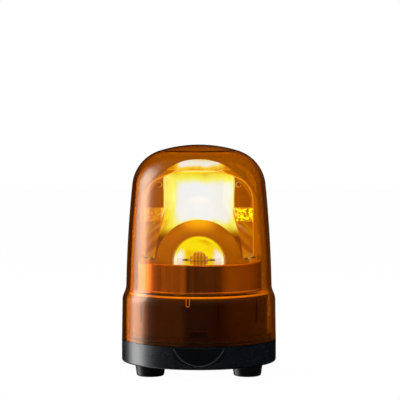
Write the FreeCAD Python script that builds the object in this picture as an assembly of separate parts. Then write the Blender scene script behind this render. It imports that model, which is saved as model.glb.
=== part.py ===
import FreeCAD, Part
import math
import os

# Rotating-mirror beacon for machines: an amber globe on a black base, with a motor-driven
# drum and reflector that turn round a fixed LED. Millimetres, +Z up. The origin is the middle
# of the circle on which the three feet stand, and the front of the beacon faces -Y.

V = FreeCAD.Vector
O = V(0, 0, 0)
UP = V(0, 0, 1)
FRONT = V(0, -1, 0)

# ---- driving dimensions ---------------------------------------------------------------
# Base, feet and fixing
BASE_R = 50.0           # outer radius of the base
FOOT_H = 7.8            # height of the rubber feet, which is the base's underside
SEAM_Z = 22.0           # joint between base and globe
BASE_WALL = 2.9
BASE_FLOOR = 2.8
FLOOR_TOP = FOOT_H + BASE_FLOOR
EDGE_R = 1.2            # rounded lower edge of the base
FIX_R = 35.8            # radius of the circle of feet and mounting bolts
FIX_BORE_R = 2.5        # M5 mounting bolts
FOOT_TOP_R = 9.8
FOOT_LOW_R = 8.9
OUTLET_W = 32.0         # cover of the side cable outlet
OUTLET_LOW = 9.8
OUTLET_TOP = 21.0
OUTLET_HOLE_R = 3.3
OUTLET_HOLE_Z = 14.3
CABLE_R = 3.5           # bore of the grommet in the underside

# Globe
TOP_Z = 147.5
WALL = 2.5              # wall of the globe
CROWN_R = 85.2          # arc over the top
SHOULDER_R = 25.6       # arc that blends the top into the side
SIDE_R = 800.0          # long arc of the side
SIDE_LEAN = math.radians(1.2)
NECK_R = 47.15          # radius and height where the side ends and the flare begins
NECK_Z = 57.0
SKIRT_R = 49.6          # top of the skirt
SKIRT_Z = 46.8
LUG_Z = 28.0            # underside of the bayonet lugs
LUG_H = 3.0
LUG_HALF = 6.0          # half of the angle that a lug spans, degrees
LUG_COUNT = 3

# Chassis
CHASSIS_R = 44.5
CHASSIS_WALL = 2.2
COLLAR_R = 46.9         # lower collar that centres the base and the globe
COLLAR_LOW = 18.0
COLLAR_TOP = 27.0
SEAL_Z = 24.3
SEAL_R = 0.85           # section of the O-ring
CAP_LOW = 47.7          # lower edge of the slightly wider band round the deck
CAP_R = 44.9
DECK_TOP = 52.0
DECK_T = 2.5
POST_R = 38.5           # circle of the posts that take the chassis screws

# LED pillar and bearing
PILLAR_R = 8.0
PILLAR_BORE = 3.0
PILLAR_TOP = 71.5
PILLAR_FOOT_R = 15.5
PILLAR_SCREW_AT = 12.4  # circle of the pillar's screws
SHOULDER_Z = 56.7       # shoulder that carries the thrust washer
HUB_LOW = 57.55
HUB_TOP = 69.3
HUB_R = 9.6             # outside of the bush, seat in the drum
LENS_R = 4.35
LENS_TOP = 78.5
RUNNING = 0.05          # radial clearance of the running fits

# Drum and drive
DRUM_R = 40.7
DRUM_WALL = 2.0
DRUM_LOW = 54.0
DRUM_TOP = 72.6
MODULE = 1.0
RING_TEETH = 72
PINION_TEETH = 12
BACKLASH = 0.16
GEAR_LOW = 55.5
GEAR_TOP = 62.0
MOTOR_ANGLE = 53.0      # degrees from +X to the motor's axis
MOTOR_R = 12.0
MOTOR_LEN = 25.0

# Reflector
REFL_HALF = 37.8        # half-width and radius of the reflector shell
REFL_TOP = 136.5
REFL_CROWN = 42.0       # arc over its top
REFL_CORNER = 16.0      # arc between top and sides
REFL_WALL = 1.6
RIM_W = 2.6             # front rim
RIM_T = 1.4
REFL_FOOT_X = 34.6      # screw feet of the shell
REFL_FOOT_Y = -3.6
REAR_FOOT = V(0, 30.5, 0)
MIRROR_HALF = 22.0      # half-width of the bright mirror
MIRROR_TOP = 130.0
FLARE_Z = 106.0         # height where the mirror starts to flare
BAND_LOW = 97.7         # frosted bands beside the mirror
STEP_Z = 113.0          # small step in the side panels
BOSS_X = 25.8           # screw bosses beside the mirror
BOSS_Z = 121.5
BOSS_R = 2.8
HOOD_OUT = 27.0         # outer edge and mouth of the half-bell hood
HOOD_MOUTH = 16.8
HOOD_FRONT = -17.0
HOOD_BACK = -8.5
HOOD_T = 1.2
HOOD_BROW = 4.0         # depth of the shallow cone between mouth and outer edge
HOOD_EAR_X = 29.6
HOOD_EAR_Y = -12.5

# Circuit board
BOARD_Z = 15.6
BOARD_T = 1.6
BOARD_TOP = BOARD_Z + BOARD_T
BOARD_R = 33.0
BOARD_POST_R = 22.0
CABLE_HOLE_R = 6.5      # hole in the middle of the board
TERMINAL_PITCH = 4.6
LEAD_PITCH = 1.5

# Screws
PILOT_R = 1.25          # holes for the 2.5 mm screws
SMALL_PILOT_R = 1.0     # holes for the 2 mm screws
MOTOR_SCREW_R = 1.3
CARRIER_SCREW_R = 1.1


# ---- helpers --------------------------------------------------------------------------
def polar(radius, degrees, z=0.0):
    """Point at a radius and an angle round the axis."""
    a = math.radians(degrees)
    return V(radius * math.cos(a), radius * math.sin(a), z)


def outline(start, *steps):
    """Closed wire in the XZ plane from (x, z) pairs.

    A step is one pair for a line, two pairs for an arc (middle, end), or three pairs for a
    cubic curve (handle, handle, end). The last line back to the start is added.
    """
    edges = []
    here = V(start[0], 0, start[1])
    for step in steps + (start,):
        pairs = step if isinstance(step[0], tuple) else (step,)
        points = [V(p[0], 0, p[1]) for p in pairs]
        end = points[-1]
        if len(points) == 1:
            edges.append(Part.LineSegment(here, end).toShape())
        elif len(points) == 2:
            edges.append(Part.Arc(here, points[0], end).toShape())
        else:
            curve = Part.BezierCurve()
            curve.setPoles([here] + points)
            edges.append(curve.toShape())
        here = end
    return Part.Wire(edges)


def turned(start, *steps, angle=360.0, first=0.0):
    """Solid of revolution about Z from an outline of (radius, height) pairs."""
    solid = Part.Face(outline(start, *steps)).revolve(O, UP, angle)
    solid.rotate(O, UP, first)
    return solid


def disc(radius, low, high, at=O):
    """Upright cylinder between two heights."""
    return Part.makeCylinder(radius, high - low, V(at.x, at.y, low))


def tube(outer, inner, low, high, at=O):
    """Upright tube between two heights."""
    return disc(outer, low, high, at).cut(disc(inner, low, high, at))


def sector(inner, outer, low, high, middle, half):
    """Piece of a ring that spans half an angle to each side of its middle direction."""
    return turned((inner, low), (outer, low), (outer, high), (inner, high),
                  angle=2 * half, first=middle - half)


def block(low, high):
    """Box between two corners."""
    return Part.makeBox(high[0] - low[0], high[1] - low[1], high[2] - low[2], V(*low))


def plate(points, axis, low, high):
    """Prism of a polygon: axis "z" takes (x, y) points, axis "y" takes (x, z) points."""
    if axis == "z":
        corners = [V(x, y, low) for x, y in points]
        along = V(0, 0, high - low)
    else:
        corners = [V(x, low, z) for x, z in points]
        along = V(0, high - low, 0)
    return Part.Face(Part.makePolygon(corners + corners[:1])).extrude(along)


def repeated(shape, count):
    """Copies of a shape, evenly spaced round the axis."""
    copies = []
    for i in range(count):
        twin = shape.copy()
        twin.rotate(O, UP, 360.0 * i / count)
        copies.append(twin)
    return copies


def placed(shape, directions):
    """Copies of a shape, each turned about the axis by one of the given angles."""
    copies = []
    for degrees in directions:
        twin = shape.copy()
        twin.rotate(O, UP, degrees)
        copies.append(twin)
    return copies


def mirrored(shape):
    """A shape and its mirror image across the YZ plane."""
    return [shape, shape.mirror(O, V(1, 0, 0))]


def fused(first, *others):
    """One solid from several that touch, with its seams removed."""
    return first.fuse(list(others)).removeSplitter()


def softened(shape, radius, wanted):
    """Fillet on the edges for which wanted(edge) holds."""
    return shape.makeFillet(radius, [e for e in shape.Edges if wanted(e)])


def screw(shank_r, length, head_r, head_h, at, up=True):
    """Pan-head screw with a cross recess. at is the middle of the face under its head."""
    head = turned((0, 0), (head_r, 0), (head_r, head_h * 0.55), (head_r * 0.68, head_h),
                  (0, head_h))
    arm = head_r * 0.55
    wing = shank_r * 0.22
    deep = head_h * 0.5
    cross = block((-arm, -wing, deep), (arm, wing, head_h + 1))
    cross = cross.fuse(block((-wing, -arm, deep), (wing, arm, head_h + 1)))
    shank = Part.makeCylinder(shank_r, length, V(0, 0, -length))
    body = head.cut(cross).fuse(shank).removeSplitter()
    if not up:
        body.rotate(O, V(1, 0, 0), 180)
    body.translate(at)
    return body


# ---- globe ----------------------------------------------------------------------------
def crown_centre():
    return (0.0, TOP_Z - CROWN_R)


def side_centre():
    return (NECK_R - SIDE_R * math.cos(SIDE_LEAN), NECK_Z - SIDE_R * math.sin(SIDE_LEAN))


def shoulder_centre():
    """Centre of the arc that touches the crown arc and the side arc from inside."""
    (cx, cz), (sx, sz) = crown_centre(), side_centre()
    to_crown = CROWN_R - SHOULDER_R
    to_side = SIDE_R - SHOULDER_R
    gap = math.hypot(sx - cx, sz - cz)
    along = (to_crown ** 2 - to_side ** 2 + gap ** 2) / (2 * gap)
    off = math.sqrt(to_crown ** 2 - along ** 2)
    ux, uz = (sx - cx) / gap, (sz - cz) / gap
    return (cx + along * ux + off * uz, cz + along * uz - off * ux)


def dome(inset):
    """Points of the dome at an inset from the outer face, from the neck up to the top."""
    crown, side, shoulder = crown_centre(), side_centre(), shoulder_centre()

    def on(centre, radius, angle):
        return (centre[0] + radius * math.cos(angle), centre[1] + radius * math.sin(angle))

    def heading(a, b):
        return math.atan2(b[1] - a[1], b[0] - a[0])

    high = heading(crown, shoulder)
    low = heading(side, shoulder)
    return {
        "neck": on(side, SIDE_R - inset, SIDE_LEAN),
        "side": on(side, SIDE_R - inset, (SIDE_LEAN + low) / 2),
        "side_end": on(side, SIDE_R - inset, low),
        "shoulder": on(shoulder, SHOULDER_R - inset, (low + high) / 2),
        "shoulder_end": on(shoulder, SHOULDER_R - inset, high),
        "crown": on(crown, CROWN_R - inset, (high + math.pi / 2) / 2),
        "top": (0.0, TOP_Z - inset),
    }


def globe():
    """Amber cover: domed shell, flared neck, skirt and bayonet lugs."""
    out, ins = dome(0.0), dome(WALL)
    bend = (NECK_Z - SKIRT_Z) * 0.45
    skirt_in = SKIRT_R - WALL
    shell = turned(
        (BASE_R - WALL, SEAM_Z), (BASE_R, SEAM_Z), (SKIRT_R, SKIRT_Z),
        ((SKIRT_R, SKIRT_Z + bend), (out["neck"][0], out["neck"][1] - bend), out["neck"]),
        (out["side"], out["side_end"]), (out["shoulder"], out["shoulder_end"]),
        (out["crown"], out["top"]), ins["top"],
        (ins["crown"], ins["shoulder_end"]), (ins["shoulder"], ins["side_end"]),
        (ins["side"], ins["neck"]),
        ((ins["neck"][0], ins["neck"][1] - bend), (skirt_in, SKIRT_Z + bend),
         (skirt_in, SKIRT_Z)))
    lug = sector(COLLAR_R - 1.5, BASE_R - 1.2, LUG_Z, LUG_Z + LUG_H, -90.0, LUG_HALF)
    lug = softened(lug, 0.6, lambda e: abs(e.BoundBox.ZLength - LUG_H) < 1e-3
                   and math.hypot(e.CenterOfMass.x, e.CenterOfMass.y) < COLLAR_R)
    return fused(shell, *repeated(lug, LUG_COUNT))


# ---- base -----------------------------------------------------------------------------
def fixing_points():
    """Directions of the three feet: two at the front and one at the back."""
    return [-150.0, -30.0, 90.0]


def post_directions():
    """Directions of the three chassis posts, half-way between the feet."""
    return [-90.0, 30.0, 150.0]


def outlet_prism(grow, depth):
    """D-shaped prism that enters the base's front to a depth: straight top, arched bottom."""
    half = OUTLET_W / 2 + grow
    top = OUTLET_TOP + grow
    low = OUTLET_LOW - grow
    side = low + 6.4
    wire = outline((-half, top), (half, top), (half, side), ((0, low), (-half, side)))
    prism = Part.Face(wire).extrude(V(0, 20, 0))
    prism.translate(V(0, -BASE_R - 20 + BASE_R * 0.24, 0))
    inner = disc(BASE_R - depth, FOOT_H - 1, SEAM_Z + 1)
    return prism.cut(inner)


def base_housing():
    """Black base cup with boss pattern, resting ribs, cable openings and screw holes."""
    inner = BASE_R - BASE_WALL
    cup = turned((0, FOOT_H), (BASE_R - EDGE_R, FOOT_H),
                 ((BASE_R - EDGE_R * 0.29, FOOT_H + EDGE_R * 0.29), (BASE_R, FOOT_H + EDGE_R)),
                 (BASE_R, SEAM_Z), (inner, SEAM_Z), (inner, FLOOR_TOP), (0, FLOOR_TOP))
    boss = disc(7.0, FOOT_H + 1, 20.0, polar(FIX_R, 0))
    web = block((FIX_R, -1.0, FLOOR_TOP - 1), (inner + 1, 1.0, COLLAR_LOW))
    bosses = placed(boss.fuse(web), fixing_points())
    rib = block((inner - 2.8, -0.8, FLOOR_TOP - 1), (inner + 1, 0.8, COLLAR_LOW))
    ribs = placed(rib, [15.0, 45.0, 60.0, 120.0, 135.0, 165.0, 180.0, 195.0, 225.0, 240.0,
                        300.0, 315.0, 345.0, 0.0])
    board_post = disc(2.6, FLOOR_TOP - 1, BOARD_Z, polar(BOARD_POST_R, 0))
    posts = placed(board_post, post_directions())
    body = cup.fuse(bosses + ribs + posts)
    holes = [outlet_prism(0.15, 1.3), disc(8.5, FOOT_H - 1, FLOOR_TOP + 1),
             Part.makeCylinder(OUTLET_HOLE_R, 12, V(0, -inner + 6, OUTLET_HOLE_Z), FRONT)]
    insert_hole = disc(4.0, FOOT_H - 1, 18.0, polar(FIX_R, 0))
    foot_seat = disc(6.2, FOOT_H - 1, FOOT_H + 1, polar(FIX_R, 0))
    holes += placed(insert_hole.fuse(foot_seat), fixing_points())
    pilot = disc(1.7, FOOT_H - 1, FLOOR_TOP + 1, polar(POST_R, 0))
    counterbore = disc(3.3, FOOT_H - 1, FOOT_H + 1.3, polar(POST_R, 0))
    holes += placed(pilot.fuse(counterbore), post_directions())
    board_pilot = disc(SMALL_PILOT_R, FLOOR_TOP + 0.5, BOARD_Z + 1, polar(BOARD_POST_R, 0))
    holes += placed(board_pilot, post_directions())
    return body.cut(holes).removeSplitter()


def outlet_cover():
    """Cover of the side cable outlet: D-shaped plate with a plug spigot behind it."""
    face = disc(BASE_R - 0.1, FOOT_H, SEAM_Z).common(outlet_prism(0.0, 1.3))
    spigot = Part.makeCylinder(OUTLET_HOLE_R, 5.0, V(0, -BASE_R + 6, OUTLET_HOLE_Z), FRONT)
    spigot = spigot.common(disc(BASE_R - 1.3, FOOT_H, SEAM_Z))
    return fused(face, spigot)


def rubber_feet():
    """Three feet with a seating spigot, a rounded lower edge and a bolt hole."""
    edge = 1.5
    foot = turned((FIX_BORE_R, 0), (FOOT_LOW_R - edge, 0),
                  ((FOOT_LOW_R - edge * 0.29, edge * 0.29), (FOOT_LOW_R, edge)),
                  (FOOT_TOP_R, FOOT_H), (6.2, FOOT_H), (6.2, FOOT_H + 1), (FIX_BORE_R, FOOT_H + 1))
    foot.translate(V(FIX_R, 0, 0))
    return Part.makeCompound(placed(foot, fixing_points()))


def mounting_inserts():
    """Three brass inserts with two knurled bands between plain ends."""
    low, high, r = FOOT_H + 1, 17.6, 4.0
    neck = r - 0.5
    insert = turned((FIX_BORE_R, low), (r, low), (r, low + 3), (neck, low + 3.5),
                    (neck, low + 4.6), (r, low + 5.1), (r, high), (FIX_BORE_R, high))
    insert.translate(V(FIX_R, 0, 0))
    return Part.makeCompound(placed(insert, fixing_points()))


def cable_grommet():
    """Flanged rubber grommet in the middle of the underside."""
    return turned((CABLE_R, FOOT_H - 2.6), (6.5, FOOT_H - 2.6), (11.0, FOOT_H - 1.2),
                  (11.0, FOOT_H), (8.5, FOOT_H), (8.5, FLOOR_TOP), (10.5, FLOOR_TOP),
                  (10.5, FLOOR_TOP + 1.4), (7.5, FLOOR_TOP + 2.2), (CABLE_R, FLOOR_TOP + 2.2))


def chassis_screws():
    """Three screws from below, sunk in the base's counterbores."""
    one = screw(1.5, 11.0, 2.9, 1.2, polar(POST_R, 0, FOOT_H + 1.3), up=False)
    return Part.makeCompound(placed(one, post_directions()))


# ---- chassis --------------------------------------------------------------------------
def bayonet_hook():
    """Hook rib over one globe lug, with the stop that ends its turn."""
    top = LUG_Z + LUG_H + 0.2
    half = LUG_HALF + 1.5
    over = sector(CHASSIS_R - 1, COLLAR_R - 0.1, top, top + 1.8, -90.0, half)
    stop = sector(CHASSIS_R - 1, COLLAR_R - 0.1, COLLAR_TOP - 1, top + 1.8, -90.0 - half - 1.0, 1.2)
    return over.fuse(stop)


def chassis():
    """Inner frame: collar with seal groove, bayonet hooks, deck and screw posts."""
    inner = CHASSIS_R - CHASSIS_WALL
    collar_in = COLLAR_R - 2.6
    groove = COLLAR_R - 1.3
    low_g, high_g = SEAL_Z - 0.9, SEAL_Z + 0.9
    deck_low = DECK_TOP - DECK_T
    body = turned((collar_in, COLLAR_LOW), (COLLAR_R, COLLAR_LOW), (COLLAR_R, low_g),
                  (groove, low_g), (groove, high_g), (COLLAR_R, high_g), (COLLAR_R, COLLAR_TOP),
                  (CHASSIS_R, COLLAR_TOP), (CHASSIS_R, CAP_LOW), (CAP_R, CAP_LOW),
                  (CAP_R, DECK_TOP - 1.2),
                  ((CAP_R - 0.35, DECK_TOP - 0.35), (CAP_R - 1.2, DECK_TOP)),
                  (PILLAR_BORE, DECK_TOP), (PILLAR_BORE, deck_low), (inner, deck_low),
                  (inner, COLLAR_TOP + 2), (collar_in, COLLAR_TOP))
    post = disc(3.1, FLOOR_TOP, deck_low + 1, polar(POST_R, 0))
    web = block((POST_R, -0.8, COLLAR_TOP - 5), (CHASSIS_R - 1, 0.8, deck_low + 1))
    posts = placed(post.fuse(web), post_directions())
    hooks = repeated(bayonet_hook(), LUG_COUNT)
    rib = sector(CHASSIS_R - 1, CHASSIS_R + 0.7, 36.0, CAP_LOW, 0.0, 0.6)
    guides = placed(rib, [-84.0, -74.0, -104.0, -36.0, -144.0, 36.0, 84.0, 96.0, 144.0])
    seat = motor_axis_point()
    boss_ring = tube(6.5, 4.2, deck_low - 1.5, deck_low + 1, seat)
    body = body.fuse(posts + hooks + guides)
    notch = block((-1.0, -CHASSIS_R - 2, DECK_TOP - 4.4), (1.0, -CHASSIS_R + 3.2, DECK_TOP + 1))
    notch = notch.fuse(Part.makeCylinder(1.0, 5.2, V(0, -CHASSIS_R + 3.2, DECK_TOP - 4.4), FRONT))
    notch.rotate(O, UP, -8.8)
    cuts = [notch, disc(4.2, deck_low - 1, DECK_TOP + 1, seat)]
    cuts += [disc(MOTOR_SCREW_R, deck_low - 1, DECK_TOP + 1, p) for p in motor_screw_points()]
    pillar_pilot = disc(PILOT_R, deck_low - 1, DECK_TOP + 1, polar(PILLAR_SCREW_AT, 0))
    cuts += placed(pillar_pilot, post_directions())
    bore = disc(1.5, 0, 22.5, polar(POST_R, 0))
    cuts += placed(bore, post_directions())
    return body.cut(cuts).removeSplitter()


def globe_seal():
    """O-ring in the collar's groove."""
    return Part.makeTorus(COLLAR_R - 1.3 + SEAL_R, SEAL_R, V(0, 0, SEAL_Z))


# ---- LED pillar and bearing -----------------------------------------------------------
def led_pillar():
    """Hollow aluminium post: flange, journal, clip groove and board seat."""
    groove_low, groove_high = HUB_TOP + 0.2, HUB_TOP + 0.9
    body = turned((PILLAR_BORE, DECK_TOP), (PILLAR_FOOT_R, DECK_TOP), (PILLAR_FOOT_R, DECK_TOP + 2),
                  (9.6, DECK_TOP + 2), (9.2, SHOULDER_Z), (PILLAR_R, SHOULDER_Z),
                  (PILLAR_R, groove_low), (PILLAR_R - 0.8, groove_low),
                  (PILLAR_R - 0.8, groove_high), (PILLAR_R, groove_high),
                  (PILLAR_R, PILLAR_TOP - 0.5), (PILLAR_R - 0.5, PILLAR_TOP),
                  (PILLAR_BORE, PILLAR_TOP))
    hole = disc(PILOT_R, DECK_TOP - 1, DECK_TOP + 3, polar(PILLAR_SCREW_AT, 0))
    return body.cut(placed(hole, post_directions()))


def pillar_screws():
    """Three screws through the pillar's flange into the deck."""
    one = screw(PILOT_R, 4.4, 2.1, 1.5, polar(PILLAR_SCREW_AT, 0, DECK_TOP + 2))
    return Part.makeCompound(placed(one, post_directions()))


def thrust_washer():
    """Washer under the flange of the rotor's bush."""
    return tube(11.6, PILLAR_R + 0.15, SHOULDER_Z, HUB_LOW - 0.05)


def rotor_bush():
    """Flanged plain bearing that runs on the pillar."""
    bore = PILLAR_R + RUNNING
    return turned((bore, HUB_LOW), (12.0, HUB_LOW), (12.0, HUB_LOW + 0.85), (HUB_R, HUB_LOW + 0.85),
                  (HUB_R, HUB_TOP), (bore, HUB_TOP))


def retaining_ring():
    """Open spring ring in the pillar's groove, above the bush."""
    low = HUB_TOP + 0.25
    ring = tube(10.2, PILLAR_R - 0.8, low, low + 0.6)
    gap = block((0, -2.6, low - 1), (12, 2.6, low + 2))
    return ring.cut(gap)


def led_board():
    """Metal-core board on the pillar, with two flats for its solder pads."""
    plate_ = disc(7.6, PILLAR_TOP, PILLAR_TOP + 1.2)
    flats = [block((-9, 6.2, 70), (9, 9, 75)), block((-9, -9, 70), (9, -6.2, 75))]
    return plate_.cut(flats)


def led_package():
    """LED body: square carrier with chamfered corners and a round collar under the lens."""
    low = PILLAR_TOP + 1.2
    body = block((-3.6, -3.6, low), (3.6, 3.6, low + 0.9))
    upright = [e for e in body.Edges if e.BoundBox.ZLength > 0.8]
    body = body.makeChamfer(0.8, upright)
    return fused(body, disc(LENS_R, low + 0.7, low + 1.5))


def led_lens():
    """Dome lens of the LED."""
    low = PILLAR_TOP + 2.7
    return turned((0, low), (LENS_R, low), (LENS_R - 0.15, low + 1.0),
                  ((3.9, LENS_TOP - 1.0), (2.4, LENS_TOP), (0, LENS_TOP)))


# ---- drum and drive -------------------------------------------------------------------
def drum():
    """Turning drum: skirt, deck, hub and stiffening ribs."""
    wall_in = DRUM_R - DRUM_WALL
    deck_low = DRUM_TOP - 2.0
    bead = 0.5
    body = turned((HUB_R, HUB_LOW + 0.85), (13.4, HUB_LOW + 0.85), (13.4, deck_low),
                  (wall_in, deck_low), (wall_in, DRUM_LOW), (DRUM_R + bead, DRUM_LOW),
                  (DRUM_R + bead, DRUM_LOW + 0.8), (DRUM_R, DRUM_LOW + 1.3),
                  (DRUM_R, DRUM_TOP - 0.8), ((DRUM_R - 0.23, DRUM_TOP - 0.23),
                                             (DRUM_R - 0.8, DRUM_TOP)),
                  (11.0, DRUM_TOP), (11.0, HUB_TOP), (HUB_R, HUB_TOP))
    rib = block((13.0, -0.7, GEAR_TOP), (wall_in + 0.5, 0.7, deck_low + 0.5))
    body = body.fuse(placed(rib, [20.0, 70.0, 110.0, 160.0, 200.0, 235.0, 305.0, 340.0]))
    pilots = [disc(PILOT_R, deck_low - 1, DRUM_TOP + 1, p) for p in foot_points()]
    pilots += [disc(SMALL_PILOT_R, deck_low - 1, DRUM_TOP + 1, p) for p in hood_ear_points()]
    pilots += [disc(PILOT_R, deck_low - 1, DRUM_TOP + 1, REAR_FOOT)]
    return body.cut(pilots).removeSplitter()


def tooth_half_angle(radius, pitch_r, width):
    """Half angle of an involute tooth of the given width at its pitch circle."""
    pressure = math.radians(20)
    base = pitch_r * math.cos(pressure)

    def roll(angle):
        return math.tan(angle) - angle

    here = math.acos(min(1.0, base / max(radius, base)))
    return width / (2 * pitch_r) + roll(pressure) - roll(here)


def gear_section(teeth, root, tip, width, first):
    """Closed toothed wire. Teeth stand out to the tip radius; first is one tooth's angle."""
    pitch_r = MODULE * teeth / 2
    levels = [root + (tip - root) * share for share in (0.0, 0.5, 1.0)]
    corners = []
    for i in range(teeth):
        middle = math.radians(first) + 2 * math.pi * i / teeth
        halves = [(r, tooth_half_angle(r, pitch_r, width)) for r in levels]
        corners += [(r, middle - half) for r, half in halves]
        corners += [(r, middle + half) for r, half in reversed(halves)]
    points = [V(r * math.cos(a), r * math.sin(a), 0) for r, a in corners]
    return Part.makePolygon(points + points[:1])


def toothed_prism(wire, low, high):
    """Prism of a toothed wire between two heights."""
    face = Part.Face(wire)
    face.translate(V(0, 0, low))
    return face.extrude(V(0, 0, high - low))


def drive_ring_gear():
    """Internal gear pressed into the drum. Its tooth gaps have the form of outer teeth."""
    pitch_r = MODULE * RING_TEETH / 2
    gap_width = math.pi * MODULE / 2 + BACKLASH / 2
    gaps = gear_section(RING_TEETH, pitch_r - 0.75, pitch_r + 1.05, gap_width, MOTOR_ANGLE)
    blank = disc(DRUM_R - DRUM_WALL, GEAR_LOW, GEAR_TOP)
    return blank.cut(toothed_prism(gaps, GEAR_LOW - 1, GEAR_TOP + 1))


def motor_axis_point(z=0.0):
    """Point on the motor's axis: one pinion radius inside the ring gear's pitch circle."""
    return polar(MODULE * (RING_TEETH - PINION_TEETH) / 2, MOTOR_ANGLE, z)


def drive_pinion():
    """Pinion with a hub below its teeth, bored for the motor shaft."""
    pitch_r = MODULE * PINION_TEETH / 2
    width = math.pi * MODULE / 2 - BACKLASH / 2
    low, high = GEAR_LOW + 0.5, GEAR_TOP - 0.6
    teeth = gear_section(PINION_TEETH, pitch_r - 1.0, pitch_r + 0.8, width, MOTOR_ANGLE)
    body = fused(toothed_prism(teeth, low, high), disc(3.4, low - 1.6, low))
    body = body.cut(disc(1.0, low - 3, high + 1))
    body.translate(motor_axis_point())
    return body


def motor_shaft():
    """Steel shaft, from inside the motor to the pinion's top."""
    axis = motor_axis_point()
    return disc(1.0, 44.0, GEAR_TOP - 0.6, axis)


def motor_screw_points():
    """Two screws, square to the line from the motor to the beacon's axis."""
    axis = motor_axis_point()
    across = polar(8.0, MOTOR_ANGLE + 90)
    return [axis + across, axis - across]


def motor():
    """Can motor: rounded can, front boss, rear cap and two terminals."""
    top = DECK_TOP - DECK_T
    low = top - MOTOR_LEN
    can = turned((0, low + 1.2), (MOTOR_R - 2.0, low + 1.2), (MOTOR_R - 2.0, low + 2.0),
                 (MOTOR_R - 1.2, low + 2.0), ((MOTOR_R - 0.35, low + 2.35), (MOTOR_R, low + 3.2)),
                 (MOTOR_R, top - 1.5), ((MOTOR_R - 0.44, top - 0.44), (MOTOR_R - 1.5, top)),
                 (4.15, top), (4.15, top + 1.4), (0, top + 1.4))
    cap = disc(4.0, low, low + 1.3)
    tabs = [block((x - 1.0, 5.0, low - 1.4), (x + 1.0, 5.6, low + 2)) for x in (-5.0, 5.0)]
    body = can.fuse([cap] + tabs)
    bore = disc(1.0 + RUNNING, 43.9, top + 2)
    body = body.cut(bore)
    body.translate(motor_axis_point())
    pilots = [disc(MOTOR_SCREW_R, top - 4.2, top + 1, p) for p in motor_screw_points()]
    return body.cut(pilots).removeSplitter()


def motor_screws():
    """Two screws through the deck into the motor's front."""
    return Part.makeCompound([screw(MOTOR_SCREW_R, 5.6, 2.2, 1.4, p + V(0, 0, DECK_TOP))
                              for p in motor_screw_points()])


# ---- reflector ------------------------------------------------------------------------
def foot_points():
    """Screw points of the two front feet of the reflector shell."""
    return [V(x, REFL_FOOT_Y, 0) for x in (-REFL_FOOT_X, REFL_FOOT_X)]


def hood_ear_points():
    """Screw points of the hood's two ears."""
    return [V(x, HOOD_EAR_Y, 0) for x in (-HOOD_EAR_X, HOOD_EAR_X)]


def arch(inset):
    """Half of the reflector's section at an inset: (radius, height) pairs of its outer line."""
    side = REFL_HALF - inset
    crown = REFL_CROWN - inset
    corner = REFL_CORNER - inset
    top = REFL_TOP - inset
    centre = (0.0, top - crown)
    knee_x = side - corner
    knee_z = centre[1] + math.sqrt((crown - corner) ** 2 - knee_x ** 2)
    lean = math.atan2(knee_z - centre[1], knee_x)

    def on(angle):
        return (knee_x + corner * math.cos(angle), knee_z + corner * math.sin(angle))

    half_crown = (lean + math.pi / 2) / 2
    return {"side": (side, knee_z), "corner": on(lean / 2), "corner_end": on(lean),
            "crown": (crown * math.cos(half_crown), centre[1] + crown * math.sin(half_crown)),
            "top": (0.0, top)}


def arch_face(inset, low):
    """Flat face of the whole arch in the plane of the reflector's front."""
    a = arch(inset)

    def flip(p):
        return (-p[0], p[1])

    wire = outline((a["side"][0], low), a["side"], (a["corner"], a["corner_end"]),
                   (a["crown"], a["top"]), (flip(a["crown"]), flip(a["corner_end"])),
                   (flip(a["corner"]), flip(a["side"])), (-a["side"][0], low))
    return Part.Face(wire)


def half_dome(inset, low):
    """Solid back half of the reflector's form."""
    a = arch(inset)
    return turned((0, low), (a["side"][0], low), a["side"], (a["corner"], a["corner_end"]),
                  (a["crown"], a["top"]), angle=180.0)


def reflector_shell():
    """Back shell with an arched front rim, screw feet and outer ribs."""
    low = DRUM_TOP
    shell = half_dome(0.0, low).cut(half_dome(REFL_WALL, low - 1))
    rim = arch_face(0.0, low).cut(arch_face(RIM_W, low - 1)).extrude(V(0, -RIM_T, 0))
    feet = []
    for point in foot_points():
        foot = disc(2.6, low, low + 1.6, point)
        inward = block((point.x - 2.6, point.y, low), (point.x + 2.6, 0.0, low + 1.6))
        feet.append(foot.fuse(inward))
    rear = disc(3.0, low, low + 1.6, REAR_FOOT)
    rear = rear.fuse(block((-3.0, REAR_FOOT.y, low), (3.0, REFL_HALF - 1, low + 1.6)))
    body = shell.fuse([rim, rear] + feet)
    cuts = [disc(PILOT_R, low - 1, low + 3, p) for p in foot_points() + [REAR_FOOT]]
    return body.cut(cuts).removeSplitter()


def mirror_section(z, half, middle_y, edge_y, thick):
    """Closed section of the mirror at one height: two arcs and two end lines."""
    left, right = V(-half, edge_y, z), V(half, edge_y, z)
    back_l, back_r = V(-half, edge_y + thick, z), V(half, edge_y + thick, z)
    front = Part.Arc(left, V(0, middle_y, z), right).toShape()
    back = Part.Arc(back_r, V(0, middle_y + thick, z), back_l).toShape()
    return Part.Wire([front, Part.LineSegment(right, back_r).toShape(), back,
                      Part.LineSegment(back_l, left).toShape()])


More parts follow.
